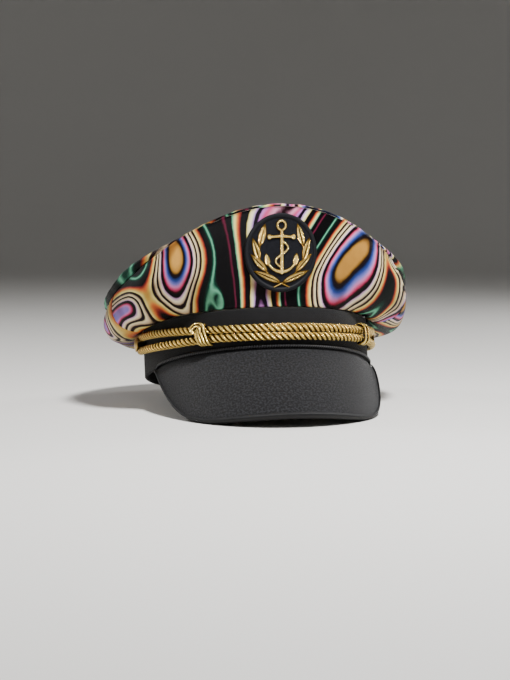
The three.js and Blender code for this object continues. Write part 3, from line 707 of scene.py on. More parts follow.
def top_spot(angle, share):
    """A point of the top panel's outer face. share runs from the rim seam to the middle."""
    angle, share = np.broadcast_arrays(angle, share)
    side = sideways(angle)
    inward = mix(row_at(TOP_ROWS, "front_inward", share), row_at(TOP_ROWS, "inward", share), side)
    out = 1 - inward
    dent = 0
    for at, far, size, depth in DENTS:
        dx = out * np.sin(angle) - far * math.sin(math.radians(at))
        dy = out * np.cos(angle) - far * math.cos(math.radians(at))
        dent = dent + depth * np.exp(-(dx * dx + dy * dy) / size**2)
    rise = mix(row_at(TOP_ROWS, "front_rise", share), row_at(TOP_ROWS, "rise", share), side)
    spot = on_rim(angle, out)
    spot[..., 2] = rim_height(angle, out) + DOME * rise - DENT_DEPTH * dent * (1 - out**4)
    roll = EDGE_ROLL * side * row_at(TOP_ROWS, "roll", share)
    return spot + rim_out(angle) * roll[..., None]


def closed(thing):
    """Points of a mesh that lie on one spot made one, and its open ends filled."""
    cloth = bmesh.new()
    cloth.from_mesh(thing.data)
    bmesh.ops.remove_doubles(cloth, verts=cloth.verts, dist=1e-7)
    ends = [edge for edge in cloth.edges if edge.is_boundary]
    bmesh.ops.holes_fill(cloth, edges=ends, sides=0)
    cloth.to_mesh(thing.data)
    cloth.free()


shares = np.concatenate([NEAR_SEAM / TOP_DEEP, np.linspace(0.035, 0.992, 66), [1]])
angle, share = np.meshgrid(turns, shares)
face = top_spot(angle, share)
way = square_to(top_spot, angle, np.minimum(share, 0.992))
in_top = lengths(face)
pull = np.exp(-in_top / 9) * rim_pull(angle, 0.6)
soft = TOP_SOFTNESS * wander(face, 52, 8.4) * np.clip(share * 3, 0, 1)
soft = soft * (0.3 + 0.7 * sideways(angle))
lift = RIM_PUCKER * pull + soft - curl(in_top, np.inf)
lift = lift * np.clip((1 - share) * 12, 0, 1)
face = face + way * lift[..., None]
face[:3] += [0, 0, SEAM_GAP]
inner_shares = np.array([1, 0.985, 0.85, 0.7, 0.56, 0.43, 0.33, 0.25, 0.17, 0.1, 0.05, 0.015, 0])
angle_in, share_in = np.meshgrid(turns, inner_shares)
way_in = square_to(top_spot, angle_in, np.minimum(share_in, 0.985))
way_in[0] = way_in[0].mean(axis=0)
inner = top_spot(angle_in, share_in) - CLOTH * way_in
rows = np.concatenate([face[::-1], inner[::-1]])
spread = np.concatenate([rows, rows[:1]])
spread = np.concatenate([spread, spread[:, :1]], axis=1)
parts = np.array([0] * len(face) + [1] * len(inner))
crown_top = sewn("crown_top_cloth", rows, spread[..., 0], spread[..., 1], parts=parts)
TOP_POOLS = [
    (-58, -62, 12, 18, 0),
    (64, -24, 16, 11, 5),
    (-24, 36, 10, 17, 30),
    (52, 78, 15, 11, 0),
    (-92, 70, 10, 14, 6),
    (6, -104, 14, 9, 40),
    (-96, -6, 10, 12, 24),
    (18, 6, 11, 9, 66),
]
warp = (wander(rows, 62, 41.7), wander(rows, 55, 5.6))
dyed(crown_top, flow(rows[..., 0], rows[..., 1], TOP_POOLS, warp))
closed(crown_top)
for material in (printed_satin, satin_back):
    crown_top.data.materials.append(material)
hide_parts("crown_top")
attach(crown_top, "root")

# Peak
# A stiff board covered in dark woven cloth. Its inner edge seats under the band, it drops away and
# spreads, and its corners are rounded. The hat rests on the two corners.
PEAK_HALF_WIDTH = 84.3
PEAK_HORN = 29.7
PEAK_REACH = 121.3
PEAK_DROP = 51.8
PEAK_LIFT = 1.0
PEAK_BULGE = 3.0
PEAK_WALL = 2.4
PEAK_CORNER = 9
PEAK_ROUND = 1.4
PEAK_END = math.radians(87)
PEAK_COLUMNS = 241
PEAK_THREAD = 1.9
PEAK_SLUBS = 11.0
BINDING_WIDTH = 1.8
BINDING_WALL = 0.8
BINDING_GAP = 0.5


def peak_spot(turn, share):
    """A point of the peak's upper face. share runs from its inner edge to its outer edge."""
    turn, share = np.broadcast_arrays(turn, share)
    angle = turn * PEAK_HALF_ANGLE / (math.pi / 2)
    start = off_band(angle, 0, band_bottom(angle) - SEAM_GAP)
    corner = np.clip(1 - np.abs(np.sin(turn)) ** PEAK_CORNER, 0, 1)
    end = np.stack(
        [
            PEAK_HALF_WIDTH * np.sin(turn),
            -PEAK_HORN - PEAK_REACH * np.cos(turn),
            -PEAK_DROP * corner ** (1 / PEAK_ROUND) + PEAK_LIFT * np.cos(turn) ** 4,
        ],
        axis=-1,
    )
    whole = end - start
    board = 1 - (BINDING_WALL + BINDING_GAP) / np.linalg.norm(whole, axis=-1)
    bulge = PEAK_BULGE * np.sin(np.pi * share) * np.cos(turn)
    return start + whole * (board * share)[..., None] + band_out(angle) * bulge[..., None]


def peak_lip(turn):
    """Where the binding's lip ends, as a share of the way from the inner edge."""
    board = np.linalg.norm(peak_spot(turn, 1.0) - peak_spot(turn, 0.0), axis=-1)
    return 1 - np.minimum(BINDING_WIDTH / board, 0.5)


peak_turns = PEAK_END * np.sin(np.linspace(-0.5, 0.5, PEAK_COLUMNS) * np.pi)
shares = np.concatenate([[0, 0.004, 0.01, 0.02], np.linspace(0.04, 0.985, 46), [1]])
turn, share = np.meshgrid(peak_turns, shares)
face = peak_spot(turn, share)
way = -square_to(peak_spot, turn, share)
below = face - PEAK_WALL * way
inward = band_out(peak_turns * PEAK_HALF_ANGLE / (math.pi / 2))
below[0] = face[0] - BAND_WALL * inward
rows = np.concatenate([face, below[::-1]])
over = lengths(face)
over = np.concatenate([over, over[::-1], over[:1]])
over = np.pad(over, [(0, 0), (0, 1)], "edge")
wide = lengths(np.moveaxis(np.concatenate([rows, rows[:1]]), 1, 0)).T
wide = np.pad(wide - wide[:, PEAK_COLUMNS // 2, None], [(0, 0), (0, 1)], "edge")
peak = sewn("visor_cloth_board", rows, wide, over, around=False, looped=True)
closed(peak)

peak_cloth, shader = finish(
    "charcoal_peak_cloth",
    roughness=0.85,
    sheen_weight=0.08,
    sheen_roughness=0.45,
    specular_ior_level=0.2,
)
bump, threads_up = weave(peak_cloth, PEAK_THREAD, 2, 0.14)
slubs = grain(peak_cloth, cloth_map(peak_cloth), 640.0, 1.0)
slubs = sums(peak_cloth, "MULTIPLY", sums(peak_cloth, "SUBTRACT", slubs, 0.5), PEAK_SLUBS)
threads_up = sums(peak_cloth, "ADD", sums(peak_cloth, "MULTIPLY", threads_up, 0.8), slubs)
flecks = stretched(peak_cloth, threads_up, -0.5, 2.2)
feed(shader, "Base Color", shades(peak_cloth, flecks, [(0, "#020203"), (1, "#202023")]))
feed(shader, "Normal", bump)
peak.data.materials.append(peak_cloth)
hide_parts("visor")
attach(peak, "root")

# Peak binding
# A strip of black grosgrain folded round the peak's outer edge and stitched through, from one horn
# to the other.
BINDING_POINTS = 9
BINDING_RIB = 0.8
lip = peak_lip(peak_turns)
edge = peak_spot(peak_turns, 1.0)
back = unit(peak_spot(peak_turns, 0.97) - edge)
edge_way = -square_to(peak_spot, peak_turns, np.ones_like(peak_turns))
lip_spot = peak_spot(peak_turns, lip)
lip_way = -square_to(peak_spot, peak_turns, lip)
top, bottom = BINDING_GAP, -PEAK_WALL - BINDING_GAP
rows = []
for depth in (0, BINDING_WALL):
    middle_height = (top + bottom) / 2
    half = (top - bottom) / 2 + depth
    ring = [lip_spot + lip_way * (top + depth)]
    for bend in np.linspace(np.pi / 2, -np.pi / 2, BINDING_POINTS):
        reach = (BINDING_GAP + depth) * math.cos(bend)
        ring.append(edge - back * reach + edge_way * (middle_height + half * math.sin(bend)))
    ring.append(lip_spot + lip_way * (bottom - depth))
    rows.append(ring if depth else ring[::-1])
rows = np.array(rows[0] + rows[1])
along = np.pad(lengths(edge), (0, 1), "edge")[None, :]
across = np.pad(lengths(rows[:, PEAK_COLUMNS // 2]), (0, 1), "edge")[:, None]
binding = sewn("visor_binding_strip", rows, across, along, around=False, looped=True)
closed(binding)


def waves(material, place, pitch):
    """A wave that comes again every pitch millimetres."""
    return sums(material, "SINE", sums(material, "MULTIPLY", place, 2 * math.pi * 1000 / pitch), 0)


trim, shader = finish("black_trim", roughness=0.6, specular_ior_level=0.25)
tinted(trim, shader, "#040405", "#0b0b0d", 5)
_, long = across_along(trim, cloth_map(trim))
feed(shader, "Normal", raised(trim, waves(trim, long, BINDING_RIB), 0.06))
binding.data.materials.append(trim)
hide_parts("visor_binding")
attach(binding, "root")

# Peak welt
# A thin black piping that covers the joint of the peak and the band, held by a row of short
# stitches. Its tails run down the peak's cut ends.
WELT_RADIUS = 1.1
WELT_SHARE = 0.95
WELT_SIDES = 12
WELT_STEP = 0.9
WELT_STITCH = 1.9


def ridge_shaded(thing, values):
    """How far each point stands out of its neighbours, for the shader of raised thread, which paints
    shade where this is low and a highlight where it is high.
    """
    ridge_shade = thing.data.attributes.new("ridge_shade", "FLOAT", "POINT")
    ridge_shade.data.foreach_set("value", np.asarray(values, dtype=float).ravel())


def rope(name, path, sides, radius, looped=False, outward=None):
    """A round cord through points. Its UV map runs round and along. outward is the way that faces the
    eye at each point, and marks the cord's ridge, where the gold gets a painted highlight, with
    painted shade towards the grooves."""
    path = np.asarray(path, dtype=float)
    count = len(path)
    if looped:
        forward = np.roll(path, -1, axis=0) - np.roll(path, 1, axis=0)
    else:
        forward = np.gradient(path, axis=0)
    forward = unit(forward)
    side = np.zeros_like(path)
    first = np.cross(forward[0], [0.0, 0.3, 1.0])
    side[0] = first / np.linalg.norm(first)
    for i in range(1, count):
        carried = side[i - 1] - forward[i] * np.dot(side[i - 1], forward[i])
        side[i] = carried / np.linalg.norm(carried)
    if looped:
        carried = side[-1] - forward[0] * np.dot(side[-1], forward[0])
        miss = math.atan2(np.dot(carried, np.cross(forward[0], side[0])), np.dot(carried, side[0]))
        twist = -miss * np.arange(count) / count
        other = np.cross(forward, side)
        side = side * np.cos(twist)[:, None] + other * np.sin(twist)[:, None]
    other = np.cross(forward, side)
    turn = np.arange(sides) / sides * 2 * np.pi
    thick = np.full(count, float(radius))
    if not looped:
        thick[0] = thick[-1] = 0.02
    ring = side[:, None] * np.cos(turn)[:, None] + other[:, None] * np.sin(turn)[:, None]
    rows = path[:, None] + ring * thick[:, None, None]
    along = lengths(path)
    along = np.concatenate([along, along[-1:] + 1])
    around = np.arange(sides + 1) / sides * 2 * np.pi * radius
    thing = sewn(name, rows, around[None, :], along[:, None], looped=looped)
    if outward is not None:
        ridge_shaded(thing, np.sum(ring * outward[:, None], axis=-1))
    return thing


def evenly(path, step, looped=False):
    """A path cut again into equal steps, and its length."""
    if looped:
        path = np.concatenate([path, path[:1]])
    far = lengths(path)
    count = max(int(round(far[-1] / step)), 4)
    marks = np.linspace(0, far[-1], count, endpoint=not looped)
    return np.stack([np.interp(marks, far, path[:, i]) for i in range(3)], axis=1), far[-1]


welt_angles = peak_turns[::2] * WELT_SHARE * PEAK_HALF_ANGLE / (math.pi / 2)
welt_path = off_band(welt_angles, WELT_RADIUS + SEAM_GAP, band_bottom(welt_angles) + WELT_RADIUS)
horn_shares = np.array([0.98, 0.75, 0.5, 0.3])
horns = [peak_spot(end, horn_shares) for end in peak_turns[[0, -1]]]
horns = [spots - [0, 0, PEAK_WALL / 2] for spots in horns]
welt_path = np.concatenate([horns[0], welt_path, horns[1][::-1]])
welt_path, _ = evenly(welt_path, WELT_STEP)
welt = rope("visor_welt_piping", welt_path, WELT_SIDES, WELT_RADIUS)
closed(welt)
piping, shader = finish("black_stitched_piping", roughness=0.45, specular_ior_level=0.3)
wide, long = across_along(piping, cloth_map(piping))
slanted = sums(piping, "ADD", long, sums(piping, "MULTIPLY", wide, 0.5))
beads = waves(piping, slanted, WELT_STITCH)
# Each bead's crest is painted lighter than the black between the beads, a painted highlight along the
# piping.
feed(shader, "Base Color", shades(piping, beads, [(0.35, "#020203"), (0.9, "#28282c")]))
feed(shader, "Normal", raised(piping, beads, 0.2))
welt.data.materials.append(piping)
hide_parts("visor_welt")
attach(welt, "root")

# Chin cord
# One loop of gold cord, three plies twisted together. Its two strands lie round the band side by
# side and turn back round a button at each side.
CORD_RADIUS = 3.0
CORD_GAP = 0.4
CORD_LOW = 0.46
CORD_HIGH = 0.65
CORD_PITCH = 13.0
PLY_RADIUS = 1.42
PLY_OFF = 1.6
PLY_SIDES = 14
CORD_STEP = 0.62
CORD_THREAD = 0.4
BUTTON_ANGLE = math.radians(88)
BUTTON_SHANK = 3.4
KNOT_ANGLES = {"left": math.radians(49.5), "right": math.radians(-37)}
cord_out = CORD_RADIUS + CORD_GAP
tight = CORD_RADIUS + SEAM_GAP / 2
loose = BUTTON_SHANK / 2 + CORD_GAP + CORD_RADIUS


def cord_height(angle):
    """How high the middle between the two strands is above the band's bottom plane."""
    way = (1 - np.cos(angle)) / (1 - math.cos(BUTTON_ANGLE))
    return mix(CORD_LOW, CORD_HIGH, way) * band_top(angle)


def cord_spread(angle):
    """Half of the way between the two strands' middle lines."""
    left = (angle - KNOT_ANGLES["left"]) / (BUTTON_ANGLE - KNOT_ANGLES["left"])
    right = (angle - KNOT_ANGLES["right"]) / (-BUTTON_ANGLE - KNOT_ANGLES["right"])
    way = np.clip(np.where(angle > 0, left, right), 0, 1)
    return mix(tight, loose, 1 - (1 - way) ** 3)


def pace(angle):
    """How far the band's face runs for each radian."""
    return np.hypot(BAND_HALF_WIDTH * np.cos(angle), BAND_HALF_LENGTH * np.sin(angle))


middle_line = []
for hand in (1, -1):
    run = np.linspace(-hand, hand, 400) * BUTTON_ANGLE
    middle_line.append(off_band(run, cord_out, cord_height(run) + hand * cord_spread(run)))
    bend = np.linspace(0, np.pi, 26)[1:-1]
    button = hand * BUTTON_ANGLE
    past = button + hand * loose * np.sin(bend) / pace(button)
    height = cord_height(np.array(button)) + hand * loose * np.cos(bend)
    middle_line.append(off_band(past, cord_out, height))
middle_line = np.concatenate(middle_line)


def band_along(angle):
    """The level way along the band's face."""
    return unit(np.cross([0.0, 0.0, 1.0], band_out(np.array(angle))))


def plies(path, rounds, number, off):
    """Cords twisted round a closed path: their middle lines and the ways out of the cord."""
    forward = unit(np.roll(path, -1, axis=0) - np.roll(path, 1, axis=0))
    angle = np.arctan2(path[:, 0] / BAND_HALF_WIDTH, -path[:, 1] / BAND_HALF_LENGTH)
    first = band_out(angle)
    first = unit(first - forward * np.sum(first * forward, axis=1, keepdims=True))
    second = np.cross(forward, first)
    share = np.arange(len(path)) / len(path)
    strands = []
    for ply in range(number):
        twist = 2 * np.pi * (rounds * share + ply / number)
        out = first * np.cos(twist)[:, None] + second * np.sin(twist)[:, None]
        strands.append((path + off * out, out))
    return strands


def joined(name, things):
    """Several meshes made one."""
    mesh = bpy.data.meshes.new(name)
    spots, faces, pairs, parts, ridges, start = [], [], [], [], [], 0
    for thing in things:
        old = thing.data
        flat = np.empty(len(old.vertices) * 3)
        old.vertices.foreach_get("co", flat)
        spots.append(flat.reshape(-1, 3))
        faces += [[start + v for v in face.vertices] for face in old.polygons]
        uvs = np.empty(len(old.loops) * 2)
        old.uv_layers["cloth"].data.foreach_get("uv", uvs)
        pairs.append(uvs)
        number = np.empty(len(old.polygons), dtype=np.int32)
        old.polygons.foreach_get("material_index", number)
        parts.append(number)
        heights = np.zeros(len(old.vertices))
        old.attributes["ridge_shade"].data.foreach_get("value", heights)
        ridges.append(heights)
        start += len(old.vertices)
        bpy.data.objects.remove(thing)
    mesh.from_pydata(np.concatenate(spots).tolist(), [], faces)
    mesh.polygons.foreach_set("use_smooth", np.ones(len(faces), dtype=bool))
    mesh.uv_layers.new(name="cloth").data.foreach_set("uv", np.concatenate(pairs))
    mesh.polygons.foreach_set("material_index", np.concatenate(parts))
    whole = placed(name, mesh)
    ridge_shaded(whole, np.concatenate(ridges))
    return whole


cord_path, cord_whole = evenly(middle_line, CORD_STEP, looped=True)
rounds = round(cord_whole / CORD_PITCH)
strands = plies(cord_path, rounds, 3, PLY_OFF)
# Each ply keeps how far it faces out of the cord, for the painted highlight on its crown and the
# painted shade in the grooves between plies.
cord = joined(
    "chin_cord_plies",
    [rope("ply", spots, PLY_SIDES, PLY_RADIUS, looped=True, outward=out) for spots, out in strands],
)


def threads(name, spacing, slant, depth, golds, lowest):
    """Gold thread laid side by side, spacing millimetres apart, across or slanting on its UV map.
    golds run from painted shade at the bottom of the grooves, at the lowest ridge value, to a
    painted highlight on the ridges."""
    material, shader = finish(name, roughness=0.22, metallic=0.85, specular_ior_level=0.6)
    cloth = cloth_map(material)
    wide, long = across_along(material, cloth)
    wobble = grain(material, cloth, 420.0, 3.0)
    along = sums(material, "ADD", long, sums(material, "MULTIPLY", wide, slant))
    along = sums(material, "ADD", along, sums(material, "MULTIPLY", wobble, 0.0002))
    wave = waves(material, along, spacing)
    ridge_shade = put(material, "ShaderNodeAttribute", attribute_name="ridge_shade").outputs["Fac"]
    ridge_shade = sums(material, "ADD", ridge_shade, sums(material, "MULTIPLY", wave, 0.05))
    ridge_shade = sums(material, "ADD", ridge_shade, sums(material, "MULTIPLY", wobble, 0.06))
    # The ridge value paints shade into grooves and low places and a highlight onto the ridges.
    rise = stretched(material, ridge_shade, lowest, 1.05)
    feed(shader, "Base Color", shades(material, rise, [*zip((0, 0.5, 1), golds)]))
    feed(shader, "Normal", raised(material, wave, depth))
    return material


# Gold for the cord, from painted shade in the grooves between plies through mid gold to a painted
# highlight on their crowns.
CORD_GOLDS = ("#0a0500", "#9c7014", "#ffe084")
cord_gold = threads("gold_cord_thread", CORD_THREAD, 1.2, 0.05, CORD_GOLDS, 0.16)
cord.data.materials.append(cord_gold)
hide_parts("chin_cord")
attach(cord, "root")

# Sliding knots
# Turns of the same gold cord wrapped round both strands, one knot towards each side. The one on
# the wearer's right slants and has two smooth loops over its top; the other is smaller.
KNOT_RADIUS = 1.15
KNOT_STEP = 0.45
# This scales how far each turn faces out of the knot, which the gold shader turns into a painted
# highlight on the turns' crowns and painted shade between them.
KNOT_RIDGE_SHADE = 1.25
KNOT_TALL = 2 * CORD_RADIUS + KNOT_RADIUS + SEAM_GAP
KNOT_DEEP = cord_out + CORD_RADIUS + KNOT_RADIUS + SEAM_GAP
# Each turn's top and foot along the band, and how far it stands out past a close turn. Each loop's
# two ends along the band, how far it rises past the turns, and how far it stands out. All in
# millimetres.
KNOT_TURNS = {
    "right": [(-5.0, -0.9, -0.3), (-2.6, 1.7, 0.4), (-0.2, 4.3, 0.5), (2.2, 6.8, -0.1)],
    "left": [(-3.4, -2.9, 0.4), (-0.4, 0.0, -0.8), (2.5, 2.9, 0.4)],
}
KNOT_LOOPS = {"right": [(-6.4, 4.0, 0.4, 0.5), (-4.2, 1.8, -1.9, 1.7)], "left": []}


def knot_turn(top, foot, proud):
    """A turn's points along the band, up from between the strands, and out from the band."""
    deep = KNOT_DEEP + proud
    return [
        (top, KNOT_TALL * 0.5, KNOT_RADIUS + SEAM_GAP),
        (top, KNOT_TALL * 0.96, cord_out - 0.4),
        (mix(top, foot, 0.14), KNOT_TALL * 0.72, deep - 0.9),
        (mix(top, foot, 0.5), 0, deep),
        (mix(top, foot, 0.86), -KNOT_TALL * 0.72, deep - 0.9),
        (foot, -KNOT_TALL * 0.96, cord_out - 0.4),
        (foot, -KNOT_TALL * 0.5, KNOT_RADIUS + SEAM_GAP),
    ]


def knot_loop(start, end, rise, proud):
    """A loop's points, from the front of the knot over the upper strand and back."""
    top, deep = KNOT_TALL + rise, KNOT_DEEP + proud
    return [
        (start + 0.5, top * 0.1, deep - 1.1),
        (start, top * 0.55, deep),
        (mix(start, end, 0.2), top * 0.9, deep - 0.6),
        (mix(start, end, 0.5), top, deep - 1.2),
        (mix(start, end, 0.8), top * 0.9, deep - 0.6),
        (end, top * 0.55, deep),
        (end - 0.5, top * 0.1, deep - 1.1),
    ]


for hand in KNOT_TURNS:
    middle_angle = KNOT_ANGLES[hand]
    core = off_band(middle_angle, cord_out, cord_height(np.array(middle_angle)))
    along_band = band_along(middle_angle)
    wraps = []
    routes = [knot_turn(*row) for row in KNOT_TURNS[hand]]
    routes += [knot_loop(*row) for row in KNOT_LOOPS[hand]]
    for route in routes:
        marks = np.linspace(0, 1, 60)
        along, up, out = (row_at({"route": column}, "route", marks) for column in zip(*route))
        where = middle_angle + along / pace(middle_angle)
        path, _ = evenly(off_band(where, out, cord_height(where) + up), KNOT_STEP)
        forward = unit(np.gradient(path, axis=0))
        # The way out of the knot at each point, for the painted highlight on the turns and the painted
        # shade between them.
        outward = path - core
        outward = unit(outward - along_band * (outward @ along_band)[:, None])
        outward = unit(np.cross(np.cross(forward, outward), forward))
        wraps.append(rope("wrap", path, PLY_SIDES, KNOT_RADIUS, outward=KNOT_RIDGE_SHADE * outward))
    knot = joined(f"knot_{hand}_turns", wraps)
    closed(knot)
    knot.data.materials.append(cord_gold)
    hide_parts(f"knot_{hand}")
    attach(knot, "root")

# Side buttons
# A small plain metal button at each side, sewn through the band. The cord turns back round its
# shank, under the head.
BUTTON_HEAD = 5.75
BUTTON_SIDES = 48
shank = 2 * CORD_RADIUS + 2 * CORD_GAP - SEAM_GAP
# The button's half section from its foot to the middle of its face: radius and height.
BUTTON_PROFILE = [
    (0, 0),
    (BUTTON_SHANK / 2, 0),
    (BUTTON_SHANK / 2, shank - 0.1),
    (5.2, shank),
    (BUTTON_HEAD, shank + 0.25),
    (BUTTON_HEAD, shank + 0.7),
    (5.3, shank + 0.95),
    (4.9, shank + 0.85),
    (4.6, shank + 0.95),
    (3.6, shank + 1.45),
    (2.2, shank + 1.8),
    (1.0, shank + 1.95),
    (0, shank + 2.0),
]
button_metal, shader = finish("old_gold_metal", roughness=0.3, metallic=0.95)
wear = grain(button_metal, cloth_map(button_metal), 500.0, 6.0, 0.7)
feed(shader, "Base Color", shades(button_metal, wear, [(0, "#8f6d2e"), (1, "#d8b568")]))
feed(shader, "Roughness", stretched(button_metal, wear, 0.0, 1.0, 0.22, 0.45))
for hand, name in ((1, "left"), (-1, "right")):
    at = np.array(hand * BUTTON_ANGLE)
    out = band_out(at)
    foot = off_band(at, SEAM_GAP, cord_height(at))
    spin = np.linspace(0, 2 * np.pi, BUTTON_SIDES, endpoint=False)
    edge_of = band_along(at) * np.cos(spin)[:, None] + [0, 0, 1] * np.sin(spin)[:, None]
    rows = np.array([foot + out * height + radius * edge_of for radius, height in BUTTON_PROFILE])
    over = np.pad(lengths(rows[:, 0]), (0, 1), "edge")[:, None]
    wide = np.linspace(0, 36, BUTTON_SIDES + 1)[None, :]
    button = sewn(f"side_button_{name}_metal", rows, wide, over)
    closed(button)
    button.data.materials.append(button_metal)
    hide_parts(f"side_button_{name}")
    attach(button, "root")

# Badge patch
# A round patch of black cloth on the crown's front. Its raw edge is whipped all round with close
# dark stitches that make a raised rim.
BADGE_RADIUS = 28.5
BADGE_OVAL = 53.5 / 57
BADGE_GAP = 0.6
BADGE_WALL = 1.8
BADGE_SHARE = 0.5
RIM_STITCHES = 210
RIM_STITCH_DEPTH = 0.24
BADGE_THREAD = 0.5
badge_middle = side_spot(np.array(0.0), np.array(BADGE_SHARE))
badge_up = unit(
    side_spot(np.array(0.0), np.array(BADGE_SHARE + 0.02))
    - side_spot(np.array(0.0), np.array(BADGE_SHARE - 0.02))
)
badge_out = np.cross([1.0, 0.0, 0.0], badge_up)


def on_badge(drawn, up, height):
    """Points a height above the crown's front, across and up from the badge's middle."""
    drawn, up, height = (np.asarray(v, dtype=float) for v in np.broadcast_arrays(drawn, up, height))
    across = drawn * BADGE_OVAL
    angle = across / RIM_HALF_WIDTH
    share = BADGE_SHARE + up / (RIM_HEIGHTS["front"] - BAND_TOP_FRONT)
    step = 0.001

    def miss(a, b):
        gap = side_spot(a, b) - badge_middle
        return gap[..., 0] - across, gap @ badge_up - up

    for _ in range(5):
        x, y = miss(angle, share)
        xa, ya = miss(angle + step, share)
        xs, ys = miss(angle, share + step)
        m11, m12, m21, m22 = (xa - x) / step, (xs - x) / step, (ya - y) / step, (ys - y) / step
        area = m11 * m22 - m12 * m21
        angle = angle - (x * m22 - y * m12) / area
        share = share - (y * m11 - x * m21) / area
    ground = (side_spot(angle, share) - badge_middle) @ badge_out
    spot = badge_middle + badge_up * up[..., None] + badge_out * (ground + height)[..., None]
    spot[..., 0] = badge_middle[0] + across
    return spot


patch_top = BADGE_GAP + BADGE_WALL
# The patch from its foot over the rim to the middle: radius as a share, and height above the cloth.
PATCH_ROWS = [
    (0.97, BADGE_GAP),
    (0.992, BADGE_GAP + 0.3),
    (1.0, BADGE_GAP + 0.9),
    (1.0, patch_top - 0.1),
    (0.995, patch_top + 0.35),
    (0.984, patch_top + 0.62),
    (0.965, patch_top + 0.78),
    (0.94, patch_top + 0.8),
    (0.915, patch_top + 0.66),
    (0.895, patch_top + 0.38),
    (0.886, patch_top),
]
PATCH_INSIDE = [0.87, 0.8, 0.65, 0.5, 0.35, 0.2, 0.1, 0.03, 0]
spin = np.linspace(0, 2 * np.pi, RIM_STITCHES * 4, endpoint=False)
stitch = RIM_STITCH_DEPTH * (np.abs(np.sin(spin * RIM_STITCHES / 2)) - 0.5)
outline = [(radius, BADGE_GAP, 0) for radius in PATCH_INSIDE[::-1]]
outline += [(radius, height, 1) for radius, height in PATCH_ROWS]
outline += [(radius, patch_top, 0) for radius in PATCH_INSIDE]
rows = []
for number, (radius, height, part) in enumerate(outline):
    whipped = part and outline[number - 1][2] and outline[number + 1][2]
    swell = stitch if whipped else 0
    out = BADGE_RADIUS * radius + swell
    rows.append(on_badge(out * np.cos(spin), out * np.sin(spin), height + swell))
rows = np.array(rows)
radii = np.array([radius for radius, _, _ in outline] + [0]) * BADGE_RADIUS
round_spin = np.append(spin, 0)
wide = radii[:, None] * np.cos(round_spin)
long = radii[:, None] * np.sin(round_spin)
parts = np.array([part for _, _, part in outline])
parts[len(PATCH_INSIDE) + len(PATCH_ROWS) - 1] = 0
patch = sewn("badge_patch_cloth", rows, wide, long, parts=parts)
closed(patch)

badge_cloth, shader = finish(
    "black_badge_cloth",
    roughness=0.9,
    sheen_weight=0.05,
    specular_ior_level=0.15,
)
tinted(badge_cloth, shader, "#05060b", "#0f1119", 3)
bump, _ = weave(badge_cloth, BADGE_THREAD, 1, 0.08)
feed(shader, "Normal", bump)
rim_thread, shader = finish("black_rim_thread", roughness=0.65, specular_ior_level=0.2)
place = {"Vector": cloth_map(rim_thread)}
sweep = put(rim_thread, "ShaderNodeTexGradient", place, gradient_type="RADIAL").outputs["Fac"]
wave = sums(rim_thread, "SINE", sums(rim_thread, "MULTIPLY", sweep, 2 * math.pi * RIM_STITCHES), 0)
feed(shader, "Base Color", shades(rim_thread, wave, [(0, "#020205"), (1, "#0e1018")]))
patch.data.materials.append(badge_cloth)
patch.data.materials.append(rim_thread)
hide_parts("badge_patch")
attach(patch, "root")

# Embroidery
# An anchor with a rope round its shank, and a laurel spray on each side, raised in gold satin
# stitch. The thread runs across each bar, and slants from each leaf's middle vein to its edges.
RELIEF = 1.5
STITCH = 0.42
VEIN_WIDTH = 0.16
ARM_RADIUS = 0.42
ARM_MIDDLE = -0.06
ARM_END = 28
# Gold for the satin stitch, from painted shade in the low places of the relief through mid gold to a
# painted highlight on its tops.
BADGE_GOLDS = ("#120a00", "#906812", "#ffe08a")
badge_gold = threads("gold_satin_stitch", STITCH, 0.0, 0.1, BADGE_GOLDS, 0.1)
seat_height = patch_top - 0.25


def relief(name, x, y, height, across, along):
    """A raised shape on the patch, from flat places in badge radii and heights in millimetres."""
    rows = on_badge(x * BADGE_RADIUS, y * BADGE_RADIUS, seat_height + height)
    across, along = (np.pad(part, (0, 1), "edge") for part in (across, along))
    thing = sewn(name, rows, across, along, around=False)
    normals = [face.normal for face in thing.data.polygons]
    outward = laid(badge_middle + badge_out) - laid(badge_middle)
    if sum(n.dot(Vector(outward)) for n in normals) < 0:
        thing.data.flip_normals()
    # The relief's height becomes painted shade: its low edges and sunk veins are painted darker and its
    # tops lighter, as a painted highlight.
    ridge_shaded(thing, height / RELIEF)
    return thing


def leaf(name, foot, tip, width, tall=RELIEF, vein=0.75):
    """A pointed leaf in two raised halves, with a sunk vein between them."""
    foot, tip = np.array(foot), np.array(tip)
    whole = np.linalg.norm(tip - foot)
    forward = (tip - foot) / whole
    square = np.array([-forward[1], forward[0]])
    share, off = np.meshgrid(np.linspace(0, 1, 41), np.linspace(-1, 1, 25), indexing="ij")
    shape = np.clip(np.sin(np.pi * share**0.85), 0, 1) ** 0.75
    half = np.maximum(shape * width / 2, 0.002)
    x = foot[0] + forward[0] * whole * share + square[0] * off * half
    y = foot[1] + forward[1] * whole * share + square[1] * off * half
    round_off = np.sqrt(np.clip(1 - off**2, 0, 1))
    sunk = 1 - vein * soft_rise(off, VEIN_WIDTH) * np.clip(shape * 1.3, 0, 1)
    height = tall * round_off * sunk * np.clip(shape + 0.25, 0, 1)
    across = off * half * BADGE_RADIUS
    along = share * whole * BADGE_RADIUS - 0.8 * np.abs(across)
    return relief(name, x, y, height, across, along)


